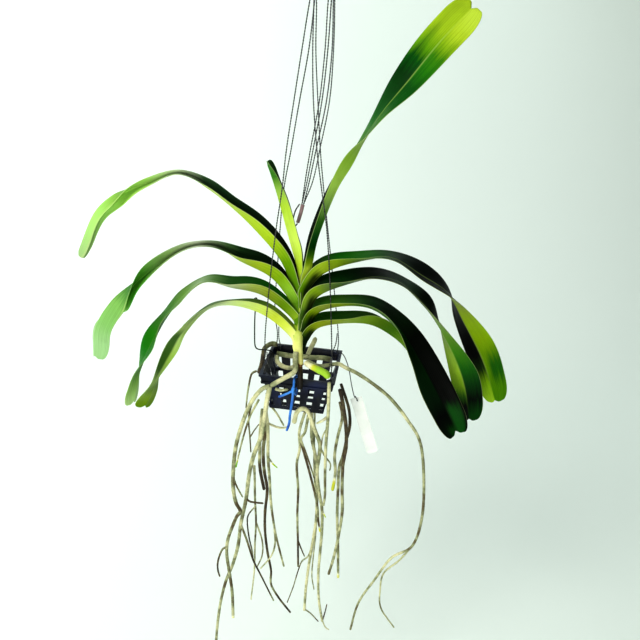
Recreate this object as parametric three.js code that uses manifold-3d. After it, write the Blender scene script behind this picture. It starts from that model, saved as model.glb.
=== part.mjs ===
// Orchid of the aerides kind in a small square hanging basket, with its wire hanger,
// aerial roots and blank tag.
// Millimetres, +Z up, x along the fan of leaves, y away from the front of the basket.
// The pieces are placed from the middle of the basket's rim, and the group is then lowered,
// so that the part's origin is the inside top of the bend that hangs over a nail or hook.
import * as THREE from 'three';
import { mergeVertices } from 'three/addons/utils/BufferGeometryUtils.js';
import Module from 'manifold-3d';

const wasm = await Module();
wasm.setup();

// Driving dimensions
const RIM_DROP = 462;
const RIM_SIDE = 100;
const BASE_SIDE = 75;
const BASKET_HEIGHT = 55;
const BASKET_TURN = THREE.MathUtils.degToRad(-5.8);
const BASKET_WALL = 2.4;
const RIM_BAND = 14;
const RIB_DEPTH = 1.2;
const RIB_HEIGHT = 3;
const STRAND_RADIUS = 0.85;
const CORNER_HOLE_RADIUS = 2.2;
const CORNER_HOLE_INSET = 6.5;
const LEAF_KEEL_THICKNESS = 1.8;
const LEAF_EDGE_THICKNESS = 0.9;
const LEAF_NOTCH = 4;
const LEAF_NOTCH_REACH = 8;

const object = new THREE.Group();
object.name = 'aerides_orchid_in_hanging_basket';
object.position.z = -RIM_DROP;

// Finishes
function finish(color, roughness, metalness = 0) {
  return new THREE.MeshStandardMaterial({ color, roughness, metalness });
}
const leafGreen = finish(0x3f7d22, 0.45);
const stemGreen = finish(0xb9c46a, 0.55);
const rootCream = finish(0xb5b08a, 0.8);
const basketPlastic = finish(0x10121f, 0.4);
const steelWire = finish(0x8a8a8c, 0.35, 1);
const blackWire = finish(0x15151a, 0.45);
const pinkSleeve = finish(0xb08e92, 0.5);
const bluePlastic = finish(0x2f74b8, 0.4);
const tagPlastic = finish(0xf1f1ee, 0.5);

const vector = ([x, y, z]) => new THREE.Vector3(x, y, z);
const smoothCurve = (points) => new THREE.CatmullRomCurve3(points.map(vector), false, 'catmullrom', 0.5);

function addPiece(name, geometry, material) {
  const mesh = new THREE.Mesh(geometry, material);
  mesh.name = name;
  object.add(mesh);
}

// Joining and cutting
function solidOf(geometry) {
  const bare = geometry.clone();
  bare.deleteAttribute('normal');
  bare.deleteAttribute('uv');
  const merged = mergeVertices(bare, 1e-4);
  return new wasm.Manifold(new wasm.Mesh({
    numProp: 3,
    vertProperties: merged.attributes.position.array,
    triVerts: new Uint32Array(merged.index.array),
  }));
}

function geometryOf(solid) {
  const mesh = solid.getMesh();
  const geometry = new THREE.BufferGeometry();
  geometry.setAttribute('position', new THREE.BufferAttribute(new Float32Array(mesh.vertProperties), 3));
  geometry.setIndex(new THREE.BufferAttribute(new Uint32Array(mesh.triVerts), 1));
  return geometry;
}

const joined = (solids) => solids.reduce((whole, next) => whole.add(next));

// Round stalks: a closed cylinder bent along a smooth curve, its radius running from start to end
function framesAlong(curve, steps) {
  let normal = new THREE.Vector3(0.3, 1, 0.2);
  return Array.from({ length: steps + 1 }, (_, step) => {
    const tangent = curve.getTangent(step / steps);
    normal = normal.clone().addScaledVector(tangent, -normal.dot(tangent)).normalize();
    return { centre: curve.getPoint(step / steps), normal, binormal: tangent.cross(normal) };
  });
}

function stalk(points, startRadius, endRadius, sides = 5, stepsPerSpan = 2, tip = 0.45) {
  const steps = (points.length - 1) * stepsPerSpan;
  const frames = framesAlong(smoothCurve(points), steps);
  const cylinder = new THREE.CylinderGeometry(1, 1, 1, sides, steps);
  const position = cylinder.attributes.position;
  for (let i = 0; i < position.count; i += 1) {
    const step = Math.round((position.getY(i) + 0.5) * steps);
    const shrink = step === steps ? tip : 1;
    const radius = THREE.MathUtils.lerp(startRadius, endRadius, step / steps) * shrink;
    const { centre, normal, binormal } = frames[step];
    const place = centre.clone().addScaledVector(binormal, position.getX(i) * radius);
    place.addScaledVector(normal, position.getZ(i) * radius);
    position.setXYZ(i, place.x, place.y, place.z);
  }
  return cylinder;
}

const wire = (route, radius, stepsPerSpan = 2) => stalk(route, radius, radius, 5, stepsPerSpan, 1);

// Leaves: strap blades folded along the keel, clasping at the base, with a two-lobed tip.
// A station is [x, y, z, roll, fold]: the place of the keel, how far the upper face is turned
// to the front, and the angle in degrees between each half and the plane through the keel.
const LEAF_COLUMNS = [-1, -0.5, 0, 0.5, 1];
const ROWS_PER_SPAN = 3;

function halfWidthAt(along, halfWidth) {
  const base = 0.45 + 0.55 * THREE.MathUtils.smoothstep(along, 0, 0.28);
  const end = 1 - 0.1 * THREE.MathUtils.smoothstep(along, 0.7, 1);
  return halfWidth * base * end;
}

function rowsOf(stations) {
  const spans = (stations.length - 1) * ROWS_PER_SPAN;
  const rows = Array.from({ length: spans }, (_, i) => i / spans);
  rows.push(1 - 0.55 / spans, 1 - 0.2 / spans, 1);
  return rows;
}

function leafRow(spine, turns, along, side, halfWidth, toTip) {
  const keel = spine.getPoint(along);
  const tangent = spine.getTangent(along);
  const turn = turns.getPoint(along);
  const roll = THREE.MathUtils.degToRad(turn.x);
  const fold = THREE.MathUtils.degToRad(turn.y);
  const front = new THREE.Vector3(0, -1, 0);
  front.addScaledVector(tangent, -front.dot(tangent)).normalize();
  const up = new THREE.Vector3().crossVectors(tangent, front).multiplyScalar(side);
  const inward = up.clone().multiplyScalar(Math.cos(roll)).addScaledVector(front, Math.sin(roll));
  const across = front.clone().multiplyScalar(Math.cos(roll)).addScaledVector(up, -Math.sin(roll));
  const tipRound = 1.2 * halfWidth;
  const closeness = Math.max(0, 1 - toTip / tipRound);
  const width = halfWidthAt(along, halfWidth) * (0.5 + 0.5 * Math.sqrt(1 - closeness * closeness));
  const notch = LEAF_NOTCH * Math.max(0, 1 - toTip / LEAF_NOTCH_REACH);
  const under = [];
  const upper = [];
  for (const column of LEAF_COLUMNS) {
    const out = Math.abs(column);
    const thickness = THREE.MathUtils.lerp(LEAF_KEEL_THICKNESS, LEAF_EDGE_THICKNESS, out);
    const point = keel.clone();
    point.addScaledVector(across, column * width * Math.sin(fold));
    point.addScaledVector(inward, out * width * Math.cos(fold));
    point.addScaledVector(tangent, -notch * Math.max(0, 1 - 2 * out));
    under.push(point);
    upper.push(point.clone().addScaledVector(inward, thickness / Math.max(Math.sin(fold), 0.2)));
  }
  return { under, upper };
}

function leafGeometry(stations, side, halfWidth) {
  const spine = smoothCurve(stations);
  const turns = smoothCurve(stations.map(([, , , roll, fold]) => [roll, fold, 0]));
  const rows = rowsOf(stations);
  const keels = rows.map((along) => spine.getPoint(along));
  const toTips = keels.map(() => 0);
  for (let i = rows.length - 2; i >= 0; i -= 1) {
    toTips[i] = toTips[i + 1] + keels[i].distanceTo(keels[i + 1]);
  }
  const columns = LEAF_COLUMNS.length;
  const positions = [];
  rows.forEach((along, i) => {
    const { under, upper } = leafRow(spine, turns, along, side, halfWidth, toTips[i]);
    [...under, ...upper].forEach((point) => positions.push(point.x, point.y, point.z));
  });
  const index = [];
  const quad = (a, b, c, d) => index.push(a, b, c, a, c, d);
  const at = (row, column, face) => row * 2 * columns + face * columns + column;
  const lastRow = rows.length - 1;
  const lastColumn = columns - 1;
  for (let row = 0; row < lastRow; row += 1) {
    for (let column = 0; column < lastColumn; column += 1) {
      const under = [
        at(row, column, 0), at(row + 1, column, 0),
        at(row + 1, column + 1, 0), at(row, column + 1, 0)];
      const [a, b, c, d] = under.map((vertex) => vertex + columns);
      quad(...under);
      index.push(a, c, b, a, d, c);
    }
    quad(at(row, 0, 0), at(row, 0, 1), at(row + 1, 0, 1), at(row + 1, 0, 0));
    quad(
      at(row, lastColumn, 0), at(row + 1, lastColumn, 0),
      at(row + 1, lastColumn, 1), at(row, lastColumn, 1));
  }
  for (let column = 0; column < lastColumn; column += 1) {
    quad(at(0, column, 0), at(0, column + 1, 0), at(0, column + 1, 1), at(0, column, 1));
    quad(
      at(lastRow, column, 0), at(lastRow, column, 1),
      at(lastRow, column + 1, 1), at(lastRow, column + 1, 0));
  }
  if (side > 0) {
    for (let i = 0; i < index.length; i += 3) {
      [index[i + 1], index[i + 2]] = [index[i + 2], index[i + 1]];
    }
  }
  const geometry = new THREE.BufferGeometry();
  geometry.setAttribute('position', new THREE.Float32BufferAttribute(positions, 3));
  geometry.setIndex(index);
  return geometry;
}

const LEFT = 1;
const RIGHT = -1;
const LEAVES = {
  leaf_left_0: { side: LEFT, halfWidth: 14, stations: [
    [-14, -10, 141, 0, 30], [-24, -8, 172, -5, 35], [-37, -4, 212, -5, 35], [-48, 0, 243, -5, 55],
    [-57, 2, 265, 10, 65]] },
  leaf_left_1: { side: LEFT, halfWidth: 20, stations: [
    [-20, -12, 117, 5, 25], [-36, -11, 149, 5, 25], [-68, -8, 183, 25, 18], [-98, -4, 208, 50, 15],
    [-128, 0, 228, 55, 15], [-161, 4, 244, 75, 10], [-197, 7, 231, 75, 15], [-225, 8, 221, 100, 18],
    [-247, 6, 210, 135, 20], [-272, 4, 186, 145, 20], [-298, 0, 132, 140, 14]] },
  leaf_left_2: { side: LEFT, halfWidth: 22, stations: [
    [-17, -14, 89, 0, 25], [-44, -14, 123, 0, 25], [-85, -12, 142, 40, 20], [-121, -10, 160, 70, 10],
    [-156, -12, 151, 70, 12], [-195, -16, 123, 75, 20], [-224, -20, 102, 105, 18], [-248, -24, 79, 165, 30],
    [-266, -26, 43, 230, 50], [-274, -26, -1, 235, 65]] },
  leaf_left_3: { side: LEFT, halfWidth: 21, stations: [
    [-16, -16, 70, 0, 25], [-54, -18, 100, 0, 28], [-95, -18, 108, -5, 60], [-128, -18, 113, -5, 80],
    [-157, -20, 89, 10, 80], [-178, -24, 61, 8, 75], [-195, -28, 27, 30, 70], [-211, -32, -9, 5, 75],
    [-218, -34, -39, -10, 75], [-223, -35, -62, -20, 75]] },
  leaf_left_4: { side: LEFT, halfWidth: 21, stations: [
    [-17, -18, 45, 0, 25], [-50, -22, 74, -10, 40], [-89, -26, 87, -20, 70], [-122, -30, 81, -10, 80],
    [-149, -34, 50, -5, 65], [-162, -40, 21, -5, 42], [-186, -46, -16, -5, 82], [-195, -50, -39, -25, 80],
    [-204, -52, -57, -45, 75]] },
  leaf_right_1: { side: RIGHT, halfWidth: 22, stations: [
    [5, -15, 139, 5, 25], [11, -12, 179, 5, 30], [29, -8, 236, -10, 50], [46, -5, 269, -10, 60],
    [59, 0, 298, 0, 80], [78, 0, 330, 15, 80], [103, 0, 365, 45, 75], [132, 0, 407, 70, 70],
    [164, -5, 447, 80, 65]] },
  leaf_right_2: { side: RIGHT, halfWidth: 24, stations: [
    [4, -14, 112, 5, 25], [23, -14, 135, 0, 35], [59, -14, 151, 0, 65], [102, -12, 158, 0, 80],
    [142, -12, 138, 15, 70], [180, -14, 116, 0, 85], [205, -16, 81, -35, 80], [238, -18, 28, -70, 70],
    [264, -20, -32, -75, 60]] },
  leaf_right_3: { side: RIGHT, halfWidth: 23, stations: [
    [6, -16, 80, 5, 25], [17, -16, 104, 5, 28], [49, -16, 121, 5, 55], [85, -18, 133, 0, 72],
    [117, -22, 129, 0, 78], [146, -28, 107, 10, 68], [168, -34, 83, -5, 78], [194, -40, 43, -35, 80],
    [213, -44, 1, -65, 68], [226, -46, -48, -75, 62]] },
  leaf_right_4: { side: RIGHT, halfWidth: 23, stations: [
    [8, -18, 58, 0, 28], [18, -18, 82, -10, 40], [51, -22, 95, -12, 55], [85, -30, 96, 0, 62],
    [115, -42, 79, 15, 60], [141, -58, 50, 45, 56], [167, -70, 13, 65, 68], [189, -78, -21, 75, 66],
    [203, -82, -45, 80, 60]] },
  leaf_right_5: { side: RIGHT, halfWidth: 21, stations: [
    [7, -20, 44, 0, 28], [20, -18, 61, -12, 36], [53, -12, 67, -18, 45], [86, -4, 64, -20, 42],
    [114, 2, 49, -18, 52], [138, 6, 28, -8, 70], [162, 8, -6, 20, 68], [180, 8, -42, 35, 68]] },
};
for (const [name, { side, halfWidth, stations }] of Object.entries(LEAVES)) {
  addPiece(name, leafGeometry(stations, side, halfWidth), leafGreen);
}

// Stem: rises from the front of the rim, bends back and runs up between the clasping leaf bases
const STEM_ROUTE = [
  [0, -55, -10], [0, -54, 3], [-1, -46, 11], [-3, -36, 23], [-6, -27, 38],
  [-6, -19, 69], [-6, -15, 102], [-7, -13, 132]];
addPiece('stem', stalk(STEM_ROUTE, 3.8, 2, 8), stemGreen);

// Aerial roots: [start radius, end radius, route], first the root and then its branches
const ROOTS = {
  root_left_main: [
    [3.6, 3.2, [[-8, -38, 33], [-8, -45, 24], [-8, -55, 14], [-22, -60, 5], [-38, -62, -6]]],
    [2.9, 2.2, [[-38, -62, -6], [-48, -62, -11], [-60, -62, -29], [-70, -62, -56], [-80, -60, -98],
      [-84, -58, -142], [-84, -56, -175], [-80, -55, -199], [-74, -54, -214], [-80, -53, -227],
      [-91, -52, -265], [-93, -53, -292], [-89, -55, -324], [-84, -56, -364], [-82, -56, -417]]],
    [1.6, 1.2, [[-93, -53, -281], [-100, -52, -288], [-106, -50, -310], [-107, -48, -329],
      [-104, -47, -345]]],
    [3.2, 2.0, [[-38, -62, -6], [-41, -60, -27], [-44, -58, -56], [-48, -56, -87], [-57, -54, -118],
      [-63, -52, -153], [-67, -50, -197], [-74, -47, -243], [-78, -42, -286], [-86, -38, -327],
      [-96, -36, -361], [-104, -36, -403], [-109, -37, -449], [-112, -38, -498]]],
    [1.7, 1.1, [[-74, -47, -243], [-64, -51, -269], [-54, -54, -301], [-43, -55, -326], [-21, -54, -379]]],
    [1.4, 1.0, [[-84, -57, -155], [-80, -58, -166], [-76, -59, -174], [-70, -60, -185]]],
    [1.4, 1.3, [[-67, -50, -193], [-62, -53, -196], [-55, -55, -196], [-41, -57, -195]]]],
  root_left_inner: [
    [2.4, 1.4, [[-44, -52, -43], [-40, -48, -74], [-39, -46, -106], [-38, -46, -130], [-35, -44, -165],
      [-32, -42, -206], [-26, -40, -250], [-20, -40, -279], [-9, -40, -324]]],
    [1.6, 1.0, [[-26, -40, -250], [-24, -38, -281], [-29, -36, -308], [-45, -34, -337]]],
    [1.3, 0.8, [[-38, -46, -126], [-31, -50, -133], [-24, -52, -138]]]],
  root_left_dark: [
    [2.6, 1.4, [[-46, -34, -60], [-44, -36, -87], [-46, -37, -120], [-44, -35, -155], [-39, -32, -191],
      [-41, -30, -232], [-40, -29, -270], [-35, -28, -311], [-29, -28, -344], [-28, -28, -372],
      [-15, -28, -399], [5, -28, -429]]]],
  root_left_thin: [
    [1.8, 1.0, [[-57, -45, -142], [-56, -43, -167], [-55, -41, -203], [-53, -38, -245], [-54, -35, -290],
      [-54, -33, -341], [-58, -32, -403]]],
    [1.3, 0.9, [[-53, -38, -245], [-43, -42, -274], [-42, -43, -301], [-49, -43, -325]]],
    [1.0, 1.1, [[-55, -41, -215], [-64, -42, -230], [-65, -42, -246], [-62, -41, -273], [-58, -40, -294],
      [-56, -39, -312]]]],
  root_left_tip: [
    [2.0, 2.3, [[-50, -28, -61], [-52, -27, -95], [-52, -25, -129], [-51, -24, -160], [-44, -22, -200]]]],
  root_left_rootlet: [
    [1.3, 0.9, [[-62, -36, -41], [-67, -36, -71], [-65, -36, -100], [-63, -36, -127]]],
    [1.0, 0.8, [[-65, -36, -103], [-60, -34, -93], [-53, -32, -82]]]],
  root_left_pair: [
    [1.6, 1.0, [[-53, -48, -35], [-64, -48, -61], [-72, -48, -92], [-78, -48, -122], [-82, -48, -145]]]],
  root_left_wisp: [
    [1.5, 1.0, [[-58, -36, 1], [-64, -40, -2], [-67, -42, -17], [-69, -43, -35], [-70, -43, -53]]]],
  root_centre_brown: [
    [2.0, 1.5, [[8, -30, -60], [2, -28, -93], [4, -27, -120], [1, -26, -149], [5, -25, -193],
      [6, -24, -239], [9, -24, -285], [12, -24, -338]]],
    [1.2, 0.9, [[9, -24, -285], [15, -22, -304], [21, -20, -321]]]],
  root_centre_green: [
    [2.0, 1.4, [[13, -38, -60], [10, -38, -86], [5, -38, -99], [12, -38, -125], [21, -37, -157],
      [29, -36, -188], [35, -34, -216], [37, -33, -238], [41, -32, -261]]],
    [1.5, 1.0, [[5, -38, -99], [13, -41, -118], [21, -42, -140], [27, -42, -159]]]],
  root_centre_pale: [
    [3.1, 1.8, [[-5, -50, -64], [-2, -55, -46], [6, -56, -39], [14, -56, -46], [22, -53, -70],
      [31, -50, -96], [31, -48, -120], [30, -47, -144], [35, -46, -178], [41, -46, -209],
      [43, -45, -245], [43, -44, -283], [43, -43, -332], [47, -43, -382], [55, -43, -427]]],
    [1.1, 0.8, [[55, -43, -424], [58, -41, -408], [60, -40, -392]]],
    [1.1, 0.8, [[41, -46, -209], [44, -48, -214], [47, -49, -220]]],
    [1.3, 0.9, [[31, -50, -100], [39, -54, -112], [47, -55, -123], [47, -55, -135]]],
    [1.1, 0.8, [[55, -43, -424], [60, -43, -437], [67, -43, -443]]]],
  root_centre_cream: [
    [2.4, 2.0, [[17, -28, -60], [20, -28, -102], [27, -28, -134], [31, -28, -171], [33, -28, -206],
      [34, -27, -243], [31, -26, -291], [28, -25, -331], [26, -24, -379], [26, -24, -427]]],
    [1.2, 0.8, [[31, -26, -291], [26, -24, -315], [17, -18, -332], [12, -16, -354], [6, -18, -385],
      [-2, -20, -417]]],
    [1.2, 0.8, [[26, -24, -423], [37, -26, -430], [50, -30, -442]]]],
  root_centre_slim: [
    [1.3, 0.9, [[21, -16, -60], [26, -16, -163], [32, -16, -216], [35, -16, -271], [34, -15, -323],
      [34, -14, -362], [39, -14, -392]]]],
  root_under_tip: [
    [2.4, 1.6, [[37, -63, 5], [38, -63, -20], [39, -62, -50], [39, -60, -90], [41, -58, -140],
      [43, -57, -174], [42, -56, -194]]],
    [1.1, 0.9, [[39, -62, -62], [34, -62, -75], [33, -62, -91]]]],
  root_right_yellow: [
    [1.9, 2.2, [[54, -32, -40], [59, -30, -64], [55, -30, -96], [53, -30, -126], [56, -30, -156],
      [54, -30, -187]]]],
  root_right_long: [
    [2.6, 2.0, [[52, -48, -12], [57, -46, -32], [64, -43, -68], [67, -42, -102], [65, -42, -134],
      [67, -42, -175], [70, -42, -213], [68, -42, -255], [64, -43, -294], [58, -44, -330]]]],
  root_right_straight: [
    [2.2, 1.9, [[68, -24, -102], [65, -26, -128], [61, -27, -149], [62, -28, -186], [64, -29, -230],
      [69, -30, -284], [74, -31, -348]]],
    [2.0, 2.2, [[54, -20, -19], [61, -18, -38], [68, -16, -60], [71, -17, -83], [68, -24, -102]]]],
  root_arch: [
    [2.9, 1.6, [[7, -24, 14], [22, -20, 6], [38, -12, 5], [49, -8, 5], [59, -10, 1], [76, -14, -5],
      [99, -20, -17], [122, -26, -33], [146, -30, -60], [168, -34, -94], [180, -36, -153], [185, -38, -218],
      [177, -38, -270], [149, -38, -295], [128, -38, -340], [108, -38, -388], [100, -38, -446]]],
    [1.4, 1.2, [[177, -38, -270], [162, -34, -302], [142, -31, -332], [140, -30, -367], [145, -30, -404],
      [170, -30, -444]]]],
  root_green_tip: [
    [3.4, 5.2, [[5, -40, 20], [11, -44, 18], [20, -52, 18], [31, -62, 18], [36, -70, 16]]]],
  root_stub: [
    [3.0, 3.2, [[7, -18, 20], [10, -10, 26], [14, -4, 33], [16, 0, 39]]]],
  root_back: [
    [3.8, 3.8, [[-38, 37, -8], [-16, 37, -10], [11, 36, -10], [27, 35, -9], [42, 31, -9]]]],
  root_loop: [
    [3.2, 3.0, [[-36.5, 23, -6], [-34, 12, -9], [-25, 4, -11], [-15, 2, -11], [-9, 0, -5]]]],
  root_over_rim: [
    [3.6, 3.2, [[-38, 38, 6], [-46, 36, 7], [-54, 30, 3], [-55, 18, -3], [-55, 0, -8], [-57, -18, -12]]]],
  root_under_left: [
    [1.8, 1.3, [[-46, -12, -64], [-44, -14, -88], [-34, -16, -94], [-24, -18, -95], [-14, -20, -92]]]],
  root_under_right: [
    [2.2, 1.4, [[38, -40, -60], [32, -44, -63], [24, -46, -67]]]],
  root_front_left: [
    [2.2, 1.6, [[-31, -57, -12], [-24, -56, -14], [-14, -56, -12]]]],
  root_slot_left: [
    [1.6, 1.2, [[-37, -26, -58], [-33, -28, -62], [-27, -30, -70], [-19, -34, -82]]]],
};
for (const [name, stalks] of Object.entries(ROOTS)) {
  const parts = stalks.map(([start, end, route]) => solidOf(stalk(route, start, end)));
  addPiece(name, geometryOf(joined(parts)), rootCream);
}

// Basket: a tapering square shell of slats between a ribbed rim band, a middle ring and a base ring
const SLATS = [[-0.78, -0.51], [-0.33, -0.11], [0.11, 0.33], [0.51, 0.78]];
const MIDDLE_RING = [-37, -32];
const BASE_RING = [-BASKET_HEIGHT, -50];
const BASE_BARS = [-24, -8, 8, 24];
const BAR_WIDTH = 5;
const GUSSET_LEG = 16;
const GUSSET_THICKNESS = 2;

function boxSolid([x0, y0, z0], [x1, y1, z1]) {
  const box = new THREE.BoxGeometry(x1 - x0, y1 - y0, z1 - z0);
  return solidOf(box.translate((x0 + x1) / 2, (y0 + y1) / 2, (z0 + z1) / 2));
}

function frustum(topSide, baseSide, topZ, height) {
  const pyramid = new THREE.CylinderGeometry(topSide / Math.SQRT2, baseSide / Math.SQRT2, height, 4);
  return solidOf(pyramid.rotateY(Math.PI / 4).rotateX(Math.PI / 2).translate(0, 0, topZ - height / 2));
}

function slab([lower, upper]) {
  return boxSolid([-RIM_SIDE, -RIM_SIDE, lower], [RIM_SIDE, RIM_SIDE, upper]);
}

function slatWedge([from, to], quarter) {
  const top = RIM_SIDE / 2;
  const base = BASE_SIDE / 2;
  const outline = new THREE.Shape([
    new THREE.Vector2(from * top, 0), new THREE.Vector2(from * base, -BASKET_HEIGHT),
    new THREE.Vector2(to * base, -BASKET_HEIGHT), new THREE.Vector2(to * top, 0)]);
  const wedge = new THREE.ExtrudeGeometry(outline, { depth: RIM_SIDE, bevelEnabled: false });
  return solidOf(wedge.rotateX(Math.PI / 2).rotateZ(quarter * Math.PI / 2));
}

function basketSolid() {
  const inset = 2 * (BASKET_WALL + RIB_DEPTH);
  const outer = frustum(RIM_SIDE, BASE_SIDE, 0, BASKET_HEIGHT);
  const skin = frustum(RIM_SIDE - 2 * RIB_DEPTH, BASE_SIDE - 2 * RIB_DEPTH, 0, BASKET_HEIGHT);
  const inside = frustum(RIM_SIDE - inset + 1, BASE_SIDE - inset - 1, 2, BASKET_HEIGHT + 4);
  const shell = skin.subtract(inside);
  const ribs = outer.subtract(inside);
  const bands = joined([slab([-RIM_BAND, 0]), slab(MIDDLE_RING), slab(BASE_RING)]);
  const ribSlabs = joined([slab([-RIB_HEIGHT, 0]), slab([-RIM_BAND, RIB_HEIGHT - RIM_BAND])]);
  const wedges = [0, 1, 2, 3].flatMap((quarter) => SLATS.map((slat) => slatWedge(slat, quarter)));
  const reach = BASE_SIDE / 2 - RIB_DEPTH;
  const barTop = BASKET_WALL - BASKET_HEIGHT;
  const bars = BASE_BARS.flatMap((middle) => {
    const near = middle - BAR_WIDTH / 2;
    const far = middle + BAR_WIDTH / 2;
    return [
      boxSolid([near, -reach, -BASKET_HEIGHT], [far, reach, barTop]),
      boxSolid([-reach, near, -BASKET_HEIGHT], [reach, far, barTop])];
  });
  const walls = [shell.intersect(bands), shell.intersect(joined(wedges)), ribs.intersect(ribSlabs)];
  return joined([...walls, ...bars, ...cornerGussets()]).subtract(joined(cornerHoles()));
}

const CORNERS = { front_left: [-1, -1], front_right: [1, -1], back_left: [-1, 1], back_right: [1, 1] };

function cornerGussets() {
  const edge = RIM_SIDE / 2 - RIB_DEPTH;
  return Object.values(CORNERS).map(([sx, sy]) => {
    const corner = new THREE.Shape([
      new THREE.Vector2(sx * edge, sy * edge),
      new THREE.Vector2(sx * (edge - GUSSET_LEG), sy * edge),
      new THREE.Vector2(sx * edge, sy * (edge - GUSSET_LEG))]);
    const web = new THREE.ExtrudeGeometry(corner, { depth: GUSSET_THICKNESS, bevelEnabled: false });
    return solidOf(web.translate(0, 0, -GUSSET_THICKNESS));
  });
}

function cornerHoles() {
  const place = RIM_SIDE / 2 - CORNER_HOLE_INSET;
  return Object.values(CORNERS).map(([sx, sy]) => {
    const hole = new THREE.CylinderGeometry(CORNER_HOLE_RADIUS, CORNER_HOLE_RADIUS, 12, 12);
    return solidOf(hole.rotateX(Math.PI / 2).translate(sx * place, sy * place, 0));
  });
}

addPiece('basket', geometryOf(basketSolid()).rotateZ(BASKET_TURN), basketPlastic);

// Hanger strands: each wire is twisted back on itself at its corner hole, rises to the nail,
// bends over it beside the other three and comes down behind the leaves to the sleeve.
const ROW_SPACING = 2.1;
const STRANDS = {
  front_left: { row: -1.5,
    rise: [[-48, -38, 60], [-45, -35, 121], [-40, -28, 189], [-35, -23, 237], [-32, -18, 283],
      [-26, -13, 338], [-20, -8, 391], [-14, -4, 441]],
    fall: [[6, -2.8, 443], [5.5, -1.5, 392], [2.5, 1, 338], [-5, 5, 281], [-9.2, 8, 244],
      [-11.9, 9.6, 214]] },
  front_right: { row: -0.5,
    rise: [[36, -42, 60], [29, -34, 131], [21, -30, 194], [12, -26, 240], [3.5, -20, 285], [-4, -13, 339],
      [-8, -6, 391], [-9.7, -1.5, 441]],
    fall: [[9.3, -1, 443], [8.6, 0.5, 392], [5.4, 3, 338], [-1.9, 7, 281], [-6.8, 10, 244],
      [-11.9, 11.8, 214]] },
  back_left: { row: 0.5,
    rise: [[-43, 39, 60], [-41, 33, 128], [-37, 25, 219], [-29, 19, 277], [-21, 13, 336], [-13, 6, 391],
      [-9.2, 1.5, 441]],
    fall: [[11.3, 1.1, 443], [13.3, 2.5, 392], [10.6, 5, 338], [1.7, 7, 281], [-4.1, 8.5, 244],
      [-9.7, 9.6, 214]] },
  back_right: { row: 1.5,
    rise: [[42, 38, 60], [27, 31, 151], [14, 24, 230], [6.7, 19, 280], [0.3, 14, 338], [-5, 9, 391],
      [-7.1, 3.8, 441]],
    fall: [[12.8, 3.2, 443], [15, 4.8, 392], [14.1, 8, 338], [6.1, 10, 281], [0.1, 11, 244],
      [-9.7, 11.8, 214]] },
};
const NAIL_BEND = [[-10.5, 451], [-8.5, 458], [-4.5, 462], [0, 463], [4.5, 462], [8.5, 458], [10.5, 451]];
for (const [corner, { row, rise, fall }] of Object.entries(STRANDS)) {
  const [sx, sy] = CORNERS[corner];
  const turned = (inset, z) => {
    const place = new THREE.Vector3(sx * (RIM_SIDE / 2 - inset), sy * (RIM_SIDE / 2 - inset), z);
    return place.applyAxisAngle(new THREE.Vector3(0, 0, 1), BASKET_TURN).toArray();
  };
  const hole = CORNER_HOLE_INSET;
  const bend = NAIL_BEND.map(([x, z]) => [x, row * ROW_SPACING, z]);
  const foot = [turned(hole + 2, -7), turned(hole, -4), turned(hole, 3), turned(hole, 20)];
  const whole = wire([...foot, ...rise, ...bend, ...fall], STRAND_RADIUS);
  const tail = wire([
    turned(hole + 2, -7), turned(hole + 5.5, -6), turned(hole + 6.5, 1),
    turned(hole + 3, 14), turned(hole + 2.2, 30)], STRAND_RADIUS);
  addPiece(`hanger_strand_${corner}`, geometryOf(solidOf(whole).add(solidOf(tail))), steelWire);
}

// Sleeve over the wires' lower ends, and the small hook closed through it
const SLEEVE_ROUTE = [[-10.9, 10.7, 213], [-13, 11, 202], [-16, 11, 190]];
const HOOK_ROUTE = [
  [-16.3, 11, 188.8], [-19, 11, 186], [-22, 11, 192], [-20, 11, 204], [-16.5, 11, 211], [-14.6, 11, 214]];
addPiece('hanger_sleeve', stalk(SLEEVE_ROUTE, 2.5, 2.3, 8, 2, 1), pinkSleeve);
addPiece('hanger_hook', wire(HOOK_ROUTE, 0.9, 3), steelWire);

// Black wire hooked over the left rim, with a curl at its free end
const HOOK_WIRE_ROUTE = [
  [-70, 20, 76], [-69, 20, 80], [-66, 20, 79], [-68, 20, 59], [-68, 20, 30], [-67, 20, 11],
  [-63, 21, 5], [-55, 22, 4], [-46, 22, 3.2], [-42, 22, -1], [-41, 22, -8]];
addPiece('hook_wire', wire(HOOK_WIRE_ROUTE, 0.7), blackWire);

// Blank tag and the wire that it hangs on
const TAG_LENGTH = 95;
const TAG_HALF_WIDTH = 8.5;
const TAG_THICKNESS = 0.8;
const TAG_CORNER = 3;
const TAG_HOLE_RADIUS = 2;
const TAG_HOLE_DROP = 5;
const TAG_TILT = THREE.MathUtils.degToRad(19.5);
const TAG_PLACE = [78, 10, -55];
const TAG_WIRE_ROUTE = [
  [45.5, 27, -7], [46.4, 28, 0], [50.5, 29, 3.5], [55.5, 30, 1], [61, 30, -9], [66, 26, -22],
  [70, 20, -38], [75, 14, -54], [79.7, 10, -59.7], [80, 6, -57], [76, 6, -50]];

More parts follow.
